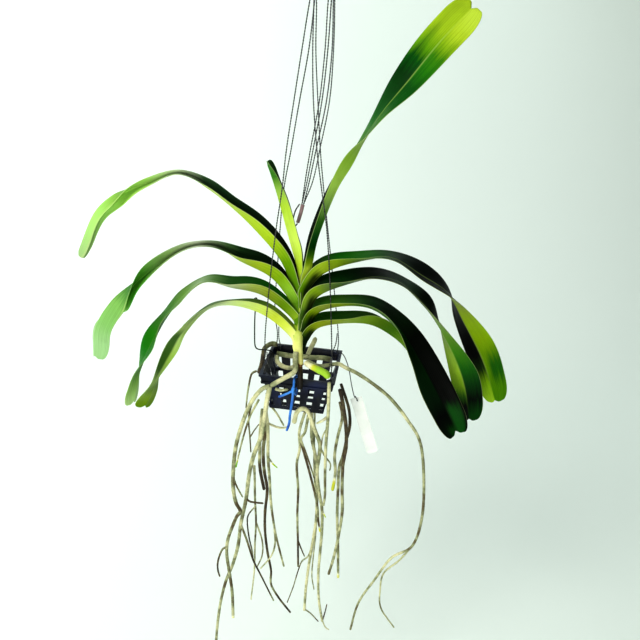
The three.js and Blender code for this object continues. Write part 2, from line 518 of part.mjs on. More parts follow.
function tagGeometry() {
  const outline = new THREE.Shape([
    new THREE.Vector2(-TAG_HALF_WIDTH, 0),
    new THREE.Vector2(-TAG_HALF_WIDTH, TAG_CORNER - TAG_LENGTH),
    new THREE.Vector2(TAG_CORNER - TAG_HALF_WIDTH, -TAG_LENGTH),
    new THREE.Vector2(TAG_HALF_WIDTH - TAG_CORNER, -TAG_LENGTH),
    new THREE.Vector2(TAG_HALF_WIDTH, TAG_CORNER - TAG_LENGTH),
    new THREE.Vector2(TAG_HALF_WIDTH, 0)]);
  const hole = new THREE.Path();
  hole.absarc(0, -TAG_HOLE_DROP, TAG_HOLE_RADIUS, 0, 2 * Math.PI, true);
  outline.holes.push(hole);
  const sheet = { depth: TAG_THICKNESS, bevelEnabled: false, curveSegments: 6 };
  const plate = new THREE.ExtrudeGeometry(outline, sheet);
  return plate.rotateX(Math.PI / 2).rotateY(-TAG_TILT).translate(...TAG_PLACE);
}
addPiece('tag', tagGeometry(), tagPlastic);
addPiece('tag_wire', wire(TAG_WIRE_ROUTE, 0.6), blackWire);

// Blue tie: over the rim behind the stem, out between the slats to a knot, with two tails
const TIE_RADIUS = 1.3;
const TIE_ROUTES = {
  overRim: [[-8, -62, -10], [-7.6, -60.5, -4], [-7.6, -56.5, 2.4], [-7, -50.5, 3.2],
    [-4.5, -45.5, 2.6], [-4, -42, -3], [-4, -40, -12], [-4, -40, -18]],
  throughSlot: [[-4, -40, -17], [-4.2, -43, -22], [-4.6, -49, -22.5], [-5.6, -54.5, -19],
    [-7.4, -59.5, -13], [-8.5, -62, -10]],
  shortTail: [[-7.5, -62, -9], [-14, -62, -14], [-27, -62, -21]],
  longTail: [[-8.5, -62.5, -9], [-8, -63.5, -16], [-9, -64, -30], [-10.5, -64, -46], [-11, -64, -58],
    [-14, -64, -70]],
};
const KNOT_ROUTE = [[-7.4, -61.5, -5.5], [-8.4, -62.2, -8.5], [-8.6, -62, -12]];
const tieStalks = Object.values(TIE_ROUTES).map((route) => stalk(route, TIE_RADIUS, TIE_RADIUS, 6));
const knot = solidOf(stalk(KNOT_ROUTE, 2, 2.3, 7, 2, 0.7));
addPiece('blue_tie', geometryOf(joined([...tieStalks.map(solidOf), knot])), bluePlastic);

export default object;
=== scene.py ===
"""Aerides orchid tied into a small slatted hanging basket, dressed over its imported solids.

Routes and leaf stations are in millimetres from the middle of the basket's rim. The row's origin
is RIM_DROP higher, at the inside top of the wires' bend, and every mesh is made there in metres.
"""

from __future__ import annotations

import logging
import math
from collections.abc import Callable, Sequence
from dataclasses import dataclass
from enum import Enum

import bpy
from mathutils import Matrix, Vector, noise

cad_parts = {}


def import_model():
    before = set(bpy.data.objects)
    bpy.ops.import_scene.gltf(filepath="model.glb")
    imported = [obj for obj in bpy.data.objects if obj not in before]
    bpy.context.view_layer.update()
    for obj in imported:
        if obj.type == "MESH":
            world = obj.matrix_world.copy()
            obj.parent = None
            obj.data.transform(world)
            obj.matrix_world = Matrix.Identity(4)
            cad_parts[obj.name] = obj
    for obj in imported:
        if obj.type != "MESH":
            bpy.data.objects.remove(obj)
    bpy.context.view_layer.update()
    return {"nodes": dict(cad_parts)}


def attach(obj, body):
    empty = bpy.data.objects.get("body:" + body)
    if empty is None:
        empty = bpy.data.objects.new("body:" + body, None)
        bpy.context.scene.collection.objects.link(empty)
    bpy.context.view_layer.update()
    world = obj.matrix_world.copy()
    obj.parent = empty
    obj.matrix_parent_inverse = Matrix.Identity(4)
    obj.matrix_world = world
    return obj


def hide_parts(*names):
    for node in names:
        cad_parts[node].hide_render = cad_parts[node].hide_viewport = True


LOG = logging.getLogger("orchid")
MM = 0.001
RIM_DROP = 462.0
RIM_SIDE = 100.0
BASKET_TURN = math.radians(-5.8)
BODY = "root"
FRONT = Vector((0.0, -1.0, 0.0))
HEADING_STEP = 1e-4
STEPS_PER_SPAN = 16
SEAM_GAP = 2e-6
PACKED_GAP = 1e-6
FLAT_ANGLE = math.radians(0.5)
SHARP_ANGLE = math.radians(25)
SMOOTH_ANGLE = math.radians(40)
ROUNDING_STEPS = 2
FIRST_NORMAL = Vector((0.3, 1.0, 0.2))
FEWEST_STEPS = 4
LEAST_LENGTH = 1e-9

Point = tuple[float, float, float]
Stop = tuple[float, str]


class Side(Enum):
    """The row of leaves that a leaf stands in, and the sign of its upper face."""

    LEFT = 1.0
    RIGHT = -1.0


class Slot(Enum):
    """The record's material slots."""

    LEAF = "leaf"
    STEM = "stem"
    ROOT = "root"
    BASKET = "basket_plastic"
    STEEL = "steel_wire"
    BLACK_WIRE = "black_wire"
    SLEEVE = "sleeve"
    TAG = "tag_plastic"
    TIE = "tie_plastic"


def tint(code: str, alpha: float = 1.0) -> tuple[float, float, float, float]:
    """Turns a display colour into scene-linear values.

    Args:
        code: six hexadecimal digits.
        alpha: the fourth value.

    Returns:
        Red, green, blue and alpha.
    """
    parts = [int(code[i : i + 2], 16) / 255.0 for i in (0, 2, 4)]
    linear = [c / 12.92 if c <= 0.04045 else ((c + 0.055) / 1.055) ** 2.4 for c in parts]
    return linear[0], linear[1], linear[2], alpha


def smoothstep(value: float, low: float, high: float) -> float:
    """Eases from 0 at low to 1 at high.

    Args:
        value: the value to ease.
        low: where the rise starts.
        high: where the rise ends.

    Returns:
        The eased share.
    """
    share = min(1.0, max(0.0, (value - low) / (high - low)))
    return share * share * (3.0 - 2.0 * share)


def blend(low: float, high: float, share: float) -> float:
    """Returns the value that lies share of the way from low to high."""
    return low + (high - low) * share


def lengths_reached(places: Sequence[Vector]) -> list[float]:
    """Adds up the lengths from the first of a row of places to each of them.

    Args:
        places: the places in order.

    Returns:
        One length for each place, from 0.
    """
    reached = [0.0]
    for first, second in zip(places, places[1:]):
        reached.append(reached[-1] + (second - first).length)
    return reached


def lengths_left(places: Sequence[Vector]) -> list[float]:
    """Adds up the lengths from each of a row of places to the last of them.

    Args:
        places: the places in order.

    Returns:
        One length for each place, down to 0.
    """
    return lengths_reached(places[::-1])[::-1]


@dataclass(frozen=True)
class SmoothRoute:
    """A smooth line through given points of any number of values."""

    points: Sequence[Sequence[float]]

    def at(self, along: float) -> list[float]:
        """Finds the values part of the way along.

        Args:
            along: 0 at the first point and 1 at the last.

        Returns:
            One value for each of a point's values.
        """
        spans = len(self.points) - 1
        place = min(max(along, 0.0), 1.0) * spans
        span = min(int(place), spans - 1)
        t = place - span
        start, end = self.points[span], self.points[span + 1]
        before = self.points[span - 1] if span else [2 * a - b for a, b in zip(start, end)]
        past_end = [2 * b - a for a, b in zip(start, end)]
        after = self.points[span + 2] if span + 2 <= spans else past_end
        values = []
        for p0, p1, p2, p3 in zip(before, start, end, after):
            m1, m2 = (p2 - p0) / 2, (p3 - p1) / 2
            cubic = 2 * p1 - 2 * p2 + m1 + m2
            square = -3 * p1 + 3 * p2 - 2 * m1 - m2
            values.append(cubic * t**3 + square * t * t + m1 * t + p1)
        return values

    def place(self, along: float) -> Vector:
        """Returns the place part of the way along."""
        return Vector(self.at(along)[:3])

    def heading(self, along: float) -> Vector:
        """Returns the direction of travel part of the way along."""
        ahead = self.place(min(1.0, along + HEADING_STEP))
        return (ahead - self.place(max(0.0, along - HEADING_STEP))).normalized()

    def even_shares(self, spacing: float) -> list[float]:
        """Spaces stations evenly by length.

        Args:
            spacing: the distance between stations.

        Returns:
            The shares along the route, from 0 to 1.
        """
        fine = (len(self.points) - 1) * STEPS_PER_SPAN
        reached = lengths_reached([self.place(i / fine) for i in range(fine + 1)])
        count = max(FEWEST_STEPS, round(reached[-1] / spacing))
        shares, step = [], 0
        for i in range(count + 1):
            goal = reached[-1] * i / count
            while step < fine - 1 and reached[step + 1] < goal:
                step += 1
            width = max(reached[step + 1] - reached[step], LEAST_LENGTH)
            shares.append((step + min(1.0, (goal - reached[step]) / width)) / fine)
        return shares


@dataclass(frozen=True)
class Cross:
    """A station of a route with the two directions across it."""

    share: float
    place: Vector
    normal: Vector
    binormal: Vector

    def outward(self, turns: float) -> Vector:
        """Returns the direction that lies a number of turns round from the normal."""
        angle = 2.0 * math.pi * turns
        return self.normal * math.cos(angle) + self.binormal * math.sin(angle)


def crosses_along(route: SmoothRoute, shares: Sequence[float]) -> list[Cross]:
    """Carries one pair of cross directions along a route without twisting it.

    Args:
        route: the line to follow.
        shares: the stations.

    Returns:
        One cross for each station.
    """
    normal = FIRST_NORMAL
    crosses = []
    for share in shares:
        heading = route.heading(share)
        normal = (normal - heading * normal.dot(heading)).normalized()
        crosses.append(Cross(share, route.place(share), normal, heading.cross(normal)))
    return crosses


def to_row(place: Vector) -> Vector:
    """Turns a place in millimetres from the rim into the row's metres."""
    return Vector((place.x, place.y, place.z - RIM_DROP)) * MM


class Bench:
    """The few hand operations that every piece goes through."""

    @staticmethod
    def clear() -> None:
        """Leaves edit mode and deselects everything."""
        if bpy.context.object and bpy.context.object.mode != "OBJECT":
            bpy.ops.object.mode_set(mode="OBJECT")
        bpy.ops.object.select_all(action="DESELECT")

    @staticmethod
    def pick(piece: bpy.types.Object) -> None:
        """Selects one piece alone and makes it active."""
        Bench.clear()
        piece.select_set(True)
        bpy.context.view_layer.objects.active = piece

    @staticmethod
    def woven(
        name: str,
        columns: int,
        rows: int,
        lay: Callable[[int, int], Vector],
        traits: dict[str, Callable[[int, int], float]] | None = None,
    ) -> bpy.types.Object:
        """Adds a grid and lays each of its crossings in place.

        Args:
            name: the new piece's name.
            columns: faces across.
            rows: faces along.
            lay: gives the place of a column and row, in millimetres from the rim.
            traits: values to keep on each point, by name.

        Returns:
            The piece, with its place in its mesh.
        """
        Bench.clear()
        bpy.ops.mesh.primitive_grid_add(x_subdivisions=columns, y_subdivisions=rows, size=1.0)
        piece = bpy.context.object
        piece.name = name
        piece.data.name = name
        mesh = piece.data
        corners = [vertex.co for vertex in mesh.vertices]
        steps = [(round((co.x + 0.5) * columns), round((co.y + 0.5) * rows)) for co in corners]
        mesh.vertices.foreach_set("co", [c for i, j in steps for c in to_row(lay(i, j))])
        for trait, value in (traits or {}).items():
            layer = mesh.attributes.new(trait, "FLOAT", "POINT")
            layer.data.foreach_set("value", [value(i, j) for i, j in steps])
        mesh.update()
        return piece

    @staticmethod
    def close(piece: bpy.types.Object) -> None:
        """Merges the seam of a wrapped grid, gives its end rings a face and turns its faces out."""
        Bench.pick(piece)
        bpy.ops.object.mode_set(mode="EDIT")
        bpy.ops.mesh.select_all(action="SELECT")
        bpy.ops.mesh.remove_doubles(threshold=SEAM_GAP)
        bpy.ops.mesh.select_all(action="DESELECT")
        bpy.ops.mesh.select_mode(type="EDGE")
        bpy.ops.mesh.select_non_manifold(extend=False)
        bpy.ops.mesh.fill_holes(sides=0)
        bpy.ops.mesh.select_mode(type="VERT")
        bpy.ops.mesh.select_all(action="SELECT")
        bpy.ops.mesh.normals_make_consistent(inside=False)
        bpy.ops.object.mode_set(mode="OBJECT")
        bpy.ops.object.shade_smooth()

    @staticmethod
    def join(name: str, pieces: Sequence[bpy.types.Object]) -> bpy.types.Object:
        """Joins pieces into the first of them.

        Args:
            name: the joined piece's name.
            pieces: one or more pieces.

        Returns:
            The joined piece.
        """
        Bench.pick(pieces[0])
        for piece in pieces[1:]:
            piece.select_set(True)
        if len(pieces) > 1:
            bpy.ops.object.join()
        joined = bpy.context.object
        joined.name = name
        joined.data.name = name
        return joined

    @staticmethod
    def worn_copy(node: bpy.types.Object, name: str, bevel: float) -> bpy.types.Object:
        """Copies a hard node and rounds its edges.

        Args:
            node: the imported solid.
            name: the copy's name.
            bevel: the width of the rounding in millimetres.

        Returns:
            The copy.
        """
        Bench.clear()
        piece = bpy.data.objects.new(name, node.data.copy())
        bpy.context.collection.objects.link(piece)
        piece.data.name = name
        piece.data.materials.clear()
        Bench.pick(piece)
        bpy.ops.object.mode_set(mode="EDIT")
        bpy.ops.mesh.select_all(action="SELECT")
        bpy.ops.mesh.remove_doubles(threshold=PACKED_GAP)
        bpy.ops.mesh.dissolve_limited(angle_limit=FLAT_ANGLE)
        bpy.ops.object.mode_set(mode="OBJECT")
        rounding = piece.modifiers.new("rounding", "BEVEL")
        rounding.width = bevel * MM
        rounding.segments = ROUNDING_STEPS
        rounding.limit_method = "ANGLE"
        rounding.angle_limit = SHARP_ANGLE
        bpy.ops.object.modifier_apply(modifier=rounding.name)
        bpy.ops.object.shade_smooth_by_angle(angle=SMOOTH_ANGLE)
        evening = piece.modifiers.new("evening", "WEIGHTED_NORMAL")
        evening.keep_sharp = True
        bpy.ops.object.modifier_apply(modifier=evening.name)
        return piece

    @staticmethod
    def hand_in(piece: bpy.types.Object, material: bpy.types.Material, slot: Slot, *nodes: str) -> None:
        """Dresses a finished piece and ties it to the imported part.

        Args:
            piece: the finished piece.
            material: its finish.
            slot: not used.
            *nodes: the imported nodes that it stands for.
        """
        piece.data.materials.clear()
        piece.data.materials.append(material)
        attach(piece, BODY)
        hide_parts(*nodes)
        LOG.info("%s: %d faces", piece.name, len(piece.data.polygons))


class Dye:
    """A material under construction, with short words for its nodes."""

    def __init__(self, name: str) -> None:
        """Starts a material with one principled surface.

        Args:
            name: the material's name.
        """
        self.material = bpy.data.materials.new(name)
        self.material.use_nodes = True
        self.tree = self.material.node_tree
        self.surface = self.tree.nodes["Principled BSDF"]

    def add(self, kind: str, **settings: object) -> bpy.types.Node:
        """Adds a node.

        Args:
            kind: the node's type name.
            **settings: its properties.

        Returns:
            The node.
        """
        node = self.tree.nodes.new(kind)
        for key, value in settings.items():
            setattr(node, key, value)
        return node

    def feed(self, socket: bpy.types.NodeSocket, value: object) -> None:
        """Links or sets a socket.

        Args:
            socket: the input.
            value: an output socket, or a plain value.
        """
        if isinstance(value, bpy.types.NodeSocket):
            self.tree.links.new(value, socket)
        else:
            socket.default_value = value

    def trait(self, name: str) -> bpy.types.NodeSocket:
        """Returns a value that the mesh keeps on its points."""
        return self.add("ShaderNodeAttribute", attribute_name=name).outputs["Fac"]

    def math(self, operation: str, *values: object, clamp: bool = False) -> bpy.types.NodeSocket:
        """Adds a sum.

        Args:
            operation: the sum's name.
            *values: its inputs.
            clamp: whether it is held between 0 and 1.

        Returns:
            Its result.
        """
        node = self.add("ShaderNodeMath", operation=operation, use_clamp=clamp)
        for socket, value in zip(node.inputs, values):
            self.feed(socket, value)
        return node.outputs[0]

    def spread(
        self, value: object, low: float, high: float, start: float = 0.0, end: float = 1.0
    ) -> bpy.types.NodeSocket:
        """Maps a range smoothly onto another.

        Args:
            value: the input.
            low: the input's lower end.
            high: the input's upper end.
            start: what the lower end becomes.
            end: what the upper end becomes.

        Returns:
            The mapped value.
        """
        node = self.add("ShaderNodeMapRange", interpolation_type="SMOOTHSTEP")
        for socket, given in zip(node.inputs, (value, low, high, start, end)):
            self.feed(socket, given)
        return node.outputs[0]

    def mix(self, share: object, first: object, second: object, way: str = "MIX") -> bpy.types.NodeSocket:
        """Mixes two colours.

        Args:
            share: how much of the second is seen.
            first: a colour.
            second: a colour.
            way: how they meet.

        Returns:
            The mixed colour.
        """
        node = self.add("ShaderNodeMix", data_type="RGBA", blend_type=way)
        self.feed(node.inputs["Factor"], share)
        self.feed(node.inputs[6], first)
        self.feed(node.inputs[7], second)
        return node.outputs[2]

    def ramp(self, value: object, stops: Sequence[Stop]) -> bpy.types.NodeSocket:
        """Reads a colour from a list of stops.

        Args:
            value: where to read, from 0 to 1.
            stops: places and colour codes.

        Returns:
            The colour.
        """
        node = self.add("ShaderNodeValToRGB")
        band = node.color_ramp
        while len(band.elements) < len(stops):
            band.elements.new(0.5)
        for element, (place, code) in zip(band.elements, stops):
            element.position = place
            element.color = tint(code)
        self.feed(node.inputs[0], value)
        return node.outputs[0]

    def vector(self, x: object, y: object, z: object) -> bpy.types.NodeSocket:
        """Returns a vector of three values."""
        node = self.add("ShaderNodeCombineXYZ")
        for socket, value in zip(node.inputs, (x, y, z)):
            self.feed(socket, value)
        return node.outputs[0]

    def here(self) -> bpy.types.NodeSocket:
        """Returns the place on the piece, in metres."""
        return self.add("ShaderNodeTexCoord").outputs["Object"]

    def cloud(
        self, where: object, scale: float, detail: float = 3.0, roughness: float = 0.55
    ) -> bpy.types.NodeSocket:
        """Adds soft noise.

        Args:
            where: the place to read.
            scale: how fine it is.
            detail: how many layers it has.
            roughness: how strong the fine layers are.

        Returns:
            The noise, from 0 to 1.
        """
        node = self.add("ShaderNodeTexNoise")
        self.feed(node.inputs["Vector"], where)
        node.inputs["Scale"].default_value = scale
        node.inputs["Detail"].default_value = detail
        node.inputs["Roughness"].default_value = roughness
        return node.outputs["Fac"]

    def relief(self, height: object, strength: float, depth: float) -> None:
        """Gives the surface low relief.

        Args:
            height: the height.
            strength: how strong it is.
            depth: its depth in metres.
        """
        node = self.add("ShaderNodeBump")
        node.inputs["Strength"].default_value = strength
        node.inputs["Distance"].default_value = depth
        self.feed(node.inputs["Height"], height)
        self.feed(self.surface.inputs["Normal"], node.outputs["Normal"])

    def paint(self, **inputs: object) -> bpy.types.Material:
        """Sets the surface's inputs.

        Args:
            **inputs: values by the socket's name, with _ for a space.

        Returns:
            The finished material.
        """
        for key, value in inputs.items():
            self.feed(self.surface.inputs[key.replace("_", " ")], value)
        return self.material

# The range that holds most of a soft noise's values, a wider one, and the layers of a fine noise
NOISE_RANGE = (0.3, 0.7)
WIDE_RANGE = (0.2, 0.8)
FINE_DETAIL = 4.0


class Face(Enum):
    """The two faces of a leaf, by the value that its points keep."""

    UNDER = 0.0
    UPPER = 1.0


@dataclass(frozen=True)
class LeafSpot:
    """The sockets that say where on a leaf a colour is read."""

    across: bpy.types.NodeSocket
    along: bpy.types.NodeSocket
    upper: bpy.types.NodeSocket


@dataclass(frozen=True)
class Wash:
    """A soft-edged wash of colour over part of one face of a leaf."""

    face: Face
    across: tuple[float, float]
    along: tuple[float, float]
    colour: str
    share: float = 0.9
    soft_across: float = 0.12
    soft_along: float = 0.06

    def lay(self, dye: Dye, skin: object, spot: LeafSpot) -> bpy.types.NodeSocket:
        """Lays the wash over a skin.

        Args:
            dye: the material under construction.
            skin: the colour so far.
            spot: where on the leaf it is read.

        Returns:
            The colour with the wash over it.
        """
        inside = spot.upper if self.face is Face.UPPER else dye.math("SUBTRACT", 1.0, spot.upper)
        edges = ((spot.across, self.across, self.soft_across), (spot.along, self.along, self.soft_along))
        for value, (low, high), soft in edges:
            half = soft / 2
            inside = dye.math("MULTIPLY", inside, dye.spread(value, low - half, low + half))
            inside = dye.math("MULTIPLY", inside, dye.spread(value, high + half, high - half))
        return dye.mix(dye.math("MULTIPLY", inside, self.share), skin, tint(self.colour))


class Finish:
    """A surface that can be made into a material."""

    def make(self, name: str) -> bpy.types.Material:
        """Builds the finish.

        Args:
            name: the material's name.

        Returns:
            The material.
        """
        dye = Dye(name)
        self.colour_in(dye)
        return dye.material

    def colour_in(self, dye: Dye) -> None:
        """Gives the surface its colour, gloss and relief."""
        raise NotImplementedError


@dataclass(frozen=True)
class LeafFinish(Finish):
    """A waxy strap leaf. Each face has colours from base to tip for its front and its back half. These hold
    the leaf's own colours together with painted shade where a half lies in shadow and painted light where it
    is lit.
    """

    under: tuple[Stop, ...]
    upper: tuple[Stop, ...]
    under_back: tuple[Stop, ...] = ()
    upper_front: tuple[Stop, ...] = ()
    washes: tuple[Wash, ...] = ()
    midrib: float = 0.12
    gloss: float = 0.38
    sheen: float = 0.03
    gloss_spread: tuple[float, float] = (-0.05, 0.12)
    face_edge: tuple[float, float] = (0.3, 0.7)
    middle_blend: float = 0.07
    streaks_across: float = 7.0
    streaks_along: float = 3.0
    streak_detail: tuple[float, float] = (4.0, 0.6)
    streak_drift: float = 0.14
    drift_along: float = 0.5
    streak_share: float = 0.5
    streak_tones: tuple[Stop, ...] = ((0.3, "C4C4C4"), (0.5, "EEEEEE"), (0.72, "FFFFFF"))
    patch_tint: str = "4C7A2A"
    patch_scale: float = 42.0
    patch_edge: tuple[float, float] = (0.5, 0.72)
    patch_share: float = 0.12
    rib_tint: str = "A9C664"
    rib_edge: tuple[float, float] = (0.07, 0.015)
    rib_fade: tuple[float, float] = (0.98, 0.85)
    # A paler rim along both edges: partly the margin's own paler colour, partly a painted highlight where the
    # edge catches the light.
    rim_highlight_tint: str = "B9C48A"
    rim_highlight_edge: tuple[float, float] = (0.965, 0.995)
    rim_highlight_share: float = 0.4
    vein_tint: str = "2A4A18"
    vein_waves: float = 62.0
    vein_share: float = 0.1
    vein_relief: float = 0.35
    grain_scale: float = 90.0
    relief_strength: float = 0.3
    relief_depth: float = 0.0004

    def faces(self, dye: Dye, spot: LeafSpot) -> bpy.types.NodeSocket:
        """Reads the colour of the face and of the half that a spot is on, with the painted light and shade
        that each half's stops hold.

        Args:
            dye: the material under construction.
            spot: where on the leaf it is read.

        Returns:
            The colour.
        """
        front = dye.spread(spot.across, -self.middle_blend, self.middle_blend)
        halves = ((self.under_back or self.under, self.under), (self.upper, self.upper_front or self.upper))
        under, top = [
            dye.mix(front, dye.ramp(spot.along, back_half), dye.ramp(spot.along, front_half))
            for back_half, front_half in halves
        ]
        return dye.mix(spot.upper, under, top)

    def colour_in(self, dye: Dye) -> None:
        """Lays the two faces with their painted light and shade, the washes (among them the painted axil
        shade), streaks, patches, midrib, the pale rim with its painted highlight, and veins.
        """
        here = dye.here()
        across, along = dye.trait("across"), dye.trait("along")
        reach = dye.math("ABSOLUTE", across)
        upper = dye.spread(dye.trait("upper"), *self.face_edge)
        wide, long = self.streaks_across, self.streaks_along
        stretched = dye.vector(dye.math("MULTIPLY", across, wide), dye.math("MULTIPLY", along, long), upper)
        streak = dye.cloud(stretched, 1.0, *self.streak_detail)
        drift = dye.math("MULTIPLY", dye.math("SUBTRACT", streak, 0.5), self.streak_drift)
        wandered = dye.math("ADD", along, dye.math("MULTIPLY", drift, self.drift_along))
        spot = LeafSpot(dye.math("ADD", across, drift), wandered, upper)
        skin = self.faces(dye, spot)
        for wash in self.washes:
            skin = wash.lay(dye, skin, spot)
        skin = dye.mix(self.streak_share, skin, dye.ramp(streak, self.streak_tones), "MULTIPLY")
        patch = dye.spread(dye.cloud(here, self.patch_scale, FINE_DETAIL), *self.patch_edge)
        skin = dye.mix(dye.math("MULTIPLY", patch, self.patch_share), skin, tint(self.patch_tint), "MULTIPLY")
        rib = dye.math("MULTIPLY", dye.spread(reach, *self.rib_edge), dye.spread(along, *self.rib_fade))
        skin = dye.mix(dye.math("MULTIPLY", rib, self.midrib), skin, tint(self.rib_tint))
        # Paler rim: partly the margin's own colour, partly a painted highlight where the thick edge catches
        # the light.
        rim = dye.math("MULTIPLY", dye.spread(reach, *self.rim_highlight_edge), self.rim_highlight_share)
        skin = dye.mix(rim, skin, tint(self.rim_highlight_tint))
        veins = dye.math("SINE", dye.math("MULTIPLY", across, self.vein_waves))
        vein = dye.spread(veins, -1.0, 1.0, 0.0, self.vein_share)
        skin = dye.mix(vein, skin, tint(self.vein_tint), "MULTIPLY")
        low, high = (self.gloss + step for step in self.gloss_spread)
        rough = dye.spread(dye.cloud(here, self.grain_scale), *WIDE_RANGE, low, high)
        height = dye.math("ADD", dye.math("MULTIPLY", veins, self.vein_relief), streak)
        dye.relief(height, self.relief_strength, self.relief_depth)
        dye.paint(Base_Color=skin, Roughness=rough, Specular_IOR_Level=self.sheen)


@dataclass(frozen=True)
class RootFinish(Finish):
    """Dull spongy root skin that runs from cream over olive to brown, with live tips."""

    tones: tuple[Stop, ...] = (
        (0.0, "D2CFA8"), (0.25, "C2C098"), (0.5, "868C68"), (0.72, "584C30"), (1.0, "2E2214"))
    tips: tuple[Stop, ...] = ((0.0, "FFFFFF"), (0.5, "C8C832"), (1.0, "66B82A"))
    tip_edge: tuple[float, float] = (0.02, 0.3)
    patch_scale: float = 55.0
    patch_detail: tuple[float, float] = (4.0, 0.6)
    patch_wander: float = 0.25
    speck_tint: str = "3F3A22"
    speck_scale: float = 420.0
    speck_detail: float = 2.0
    speck_edge: tuple[float, float] = (0.58, 0.7)
    speck_share: float = 0.35
    pore_scale: float = 260.0
    relief_strength: float = 0.6
    relief_depth: float = 0.0005
    roughness: float = 0.78

    def colour_in(self, dye: Dye) -> None:
        """Lays the tone, the live tips and the specks."""
        here = dye.here()
        live = dye.trait("live")
        patch = dye.cloud(here, self.patch_scale, *self.patch_detail)
        wander = dye.spread(patch, *NOISE_RANGE, -self.patch_wander, self.patch_wander)
        skin = dye.ramp(dye.math("ADD", dye.trait("tone"), wander, clamp=True), self.tones)
        skin = dye.mix(dye.spread(live, *self.tip_edge), skin, dye.ramp(live, self.tips))
        speck = dye.spread(dye.cloud(here, self.speck_scale, self.speck_detail), *self.speck_edge)
        skin = dye.mix(dye.math("MULTIPLY", speck, self.speck_share), skin, tint(self.speck_tint), "MULTIPLY")
        height = dye.math("ADD", dye.cloud(here, self.pore_scale, FINE_DETAIL), patch)
        dye.relief(height, self.relief_strength, self.relief_depth)
        dye.paint(Base_Color=skin, Roughness=self.roughness)


@dataclass(frozen=True)
class StemFinish(Finish):
    """Pale leaf sheaths at the crown that give way to a dark stem at the foot."""

    foot: float = -12.0
    crown: float = 70.0
    tones: tuple[Stop, ...] = (
        (0.0, "171310"), (0.16, "241C12"), (0.26, "3A3018"), (0.3, "7A4A2A"), (0.34, "D0CC84"),
        (0.6, "E0E08E"), (1.0, "A8B84C"))
    patch_scale: float = 120.0
    patch_wander: float = 0.05
    pore_scale: float = 300.0
    relief_strength: float = 0.4
    relief_depth: float = 0.0005
    roughness: float = 0.55
    sheen: float = 0.2

    def colour_in(self, dye: Dye) -> None:
        """Lays the tones by height over the rim."""
        here = dye.here()
        split = dye.add("ShaderNodeSeparateXYZ")
        dye.feed(split.inputs[0], here)
        low, high = (self.foot - RIM_DROP) * MM, (self.crown - RIM_DROP) * MM
        height = dye.spread(split.outputs["Z"], low, high)
        patch = dye.cloud(here, self.patch_scale)
        wander = dye.spread(patch, *NOISE_RANGE, -self.patch_wander, self.patch_wander)
        skin = dye.ramp(dye.math("ADD", height, wander), self.tones)
        dye.relief(dye.cloud(here, self.pore_scale), self.relief_strength, self.relief_depth)
        dye.paint(Base_Color=skin, Roughness=self.roughness, Specular_IOR_Level=self.sheen)


@dataclass(frozen=True)
class PlainFinish(Finish):
    """A made surface: moulded plastic or wire with a faint mottle and small wear."""

    colour: str
    mottle: str
    roughness: float
    metallic: float = 0.0
    grain: float = 600.0
    mottle_to_grain: float = 8.0
    mottle_edge: tuple[float, float] = (0.35, 0.75)
    gloss_spread: tuple[float, float] = (-0.06, 0.08)
    relief: float = 0.12
    relief_depth: float = 0.0002
    alpha: float = 1.0
    sheen: float = 0.5

    def colour_in(self, dye: Dye) -> None:
        """Lays the mottle and the fine grain."""
        here = dye.here()
        coarse = dye.cloud(here, self.grain / self.mottle_to_grain)
        fine = dye.cloud(here, self.grain)
        skin = dye.mix(dye.spread(coarse, *self.mottle_edge), tint(self.colour), tint(self.mottle))
        rough = dye.spread(fine, *NOISE_RANGE, *(self.roughness + step for step in self.gloss_spread))
        dye.relief(fine, self.relief, self.relief_depth)
        dye.paint(Base_Color=skin, Roughness=rough, Metallic=self.metallic, Alpha=self.alpha,
                  Specular_IOR_Level=self.sheen)


# Shares from a leaf's midrib to its edge, closer together at both
TO_EDGE = (0.03, 0.08, 0.16, 0.27, 0.4, 0.55, 0.7, 0.85, 0.94, 0.985, 1.0)
ACROSS = (*(-share for share in reversed(TO_EDGE)), 0.0, *TO_EDGE)


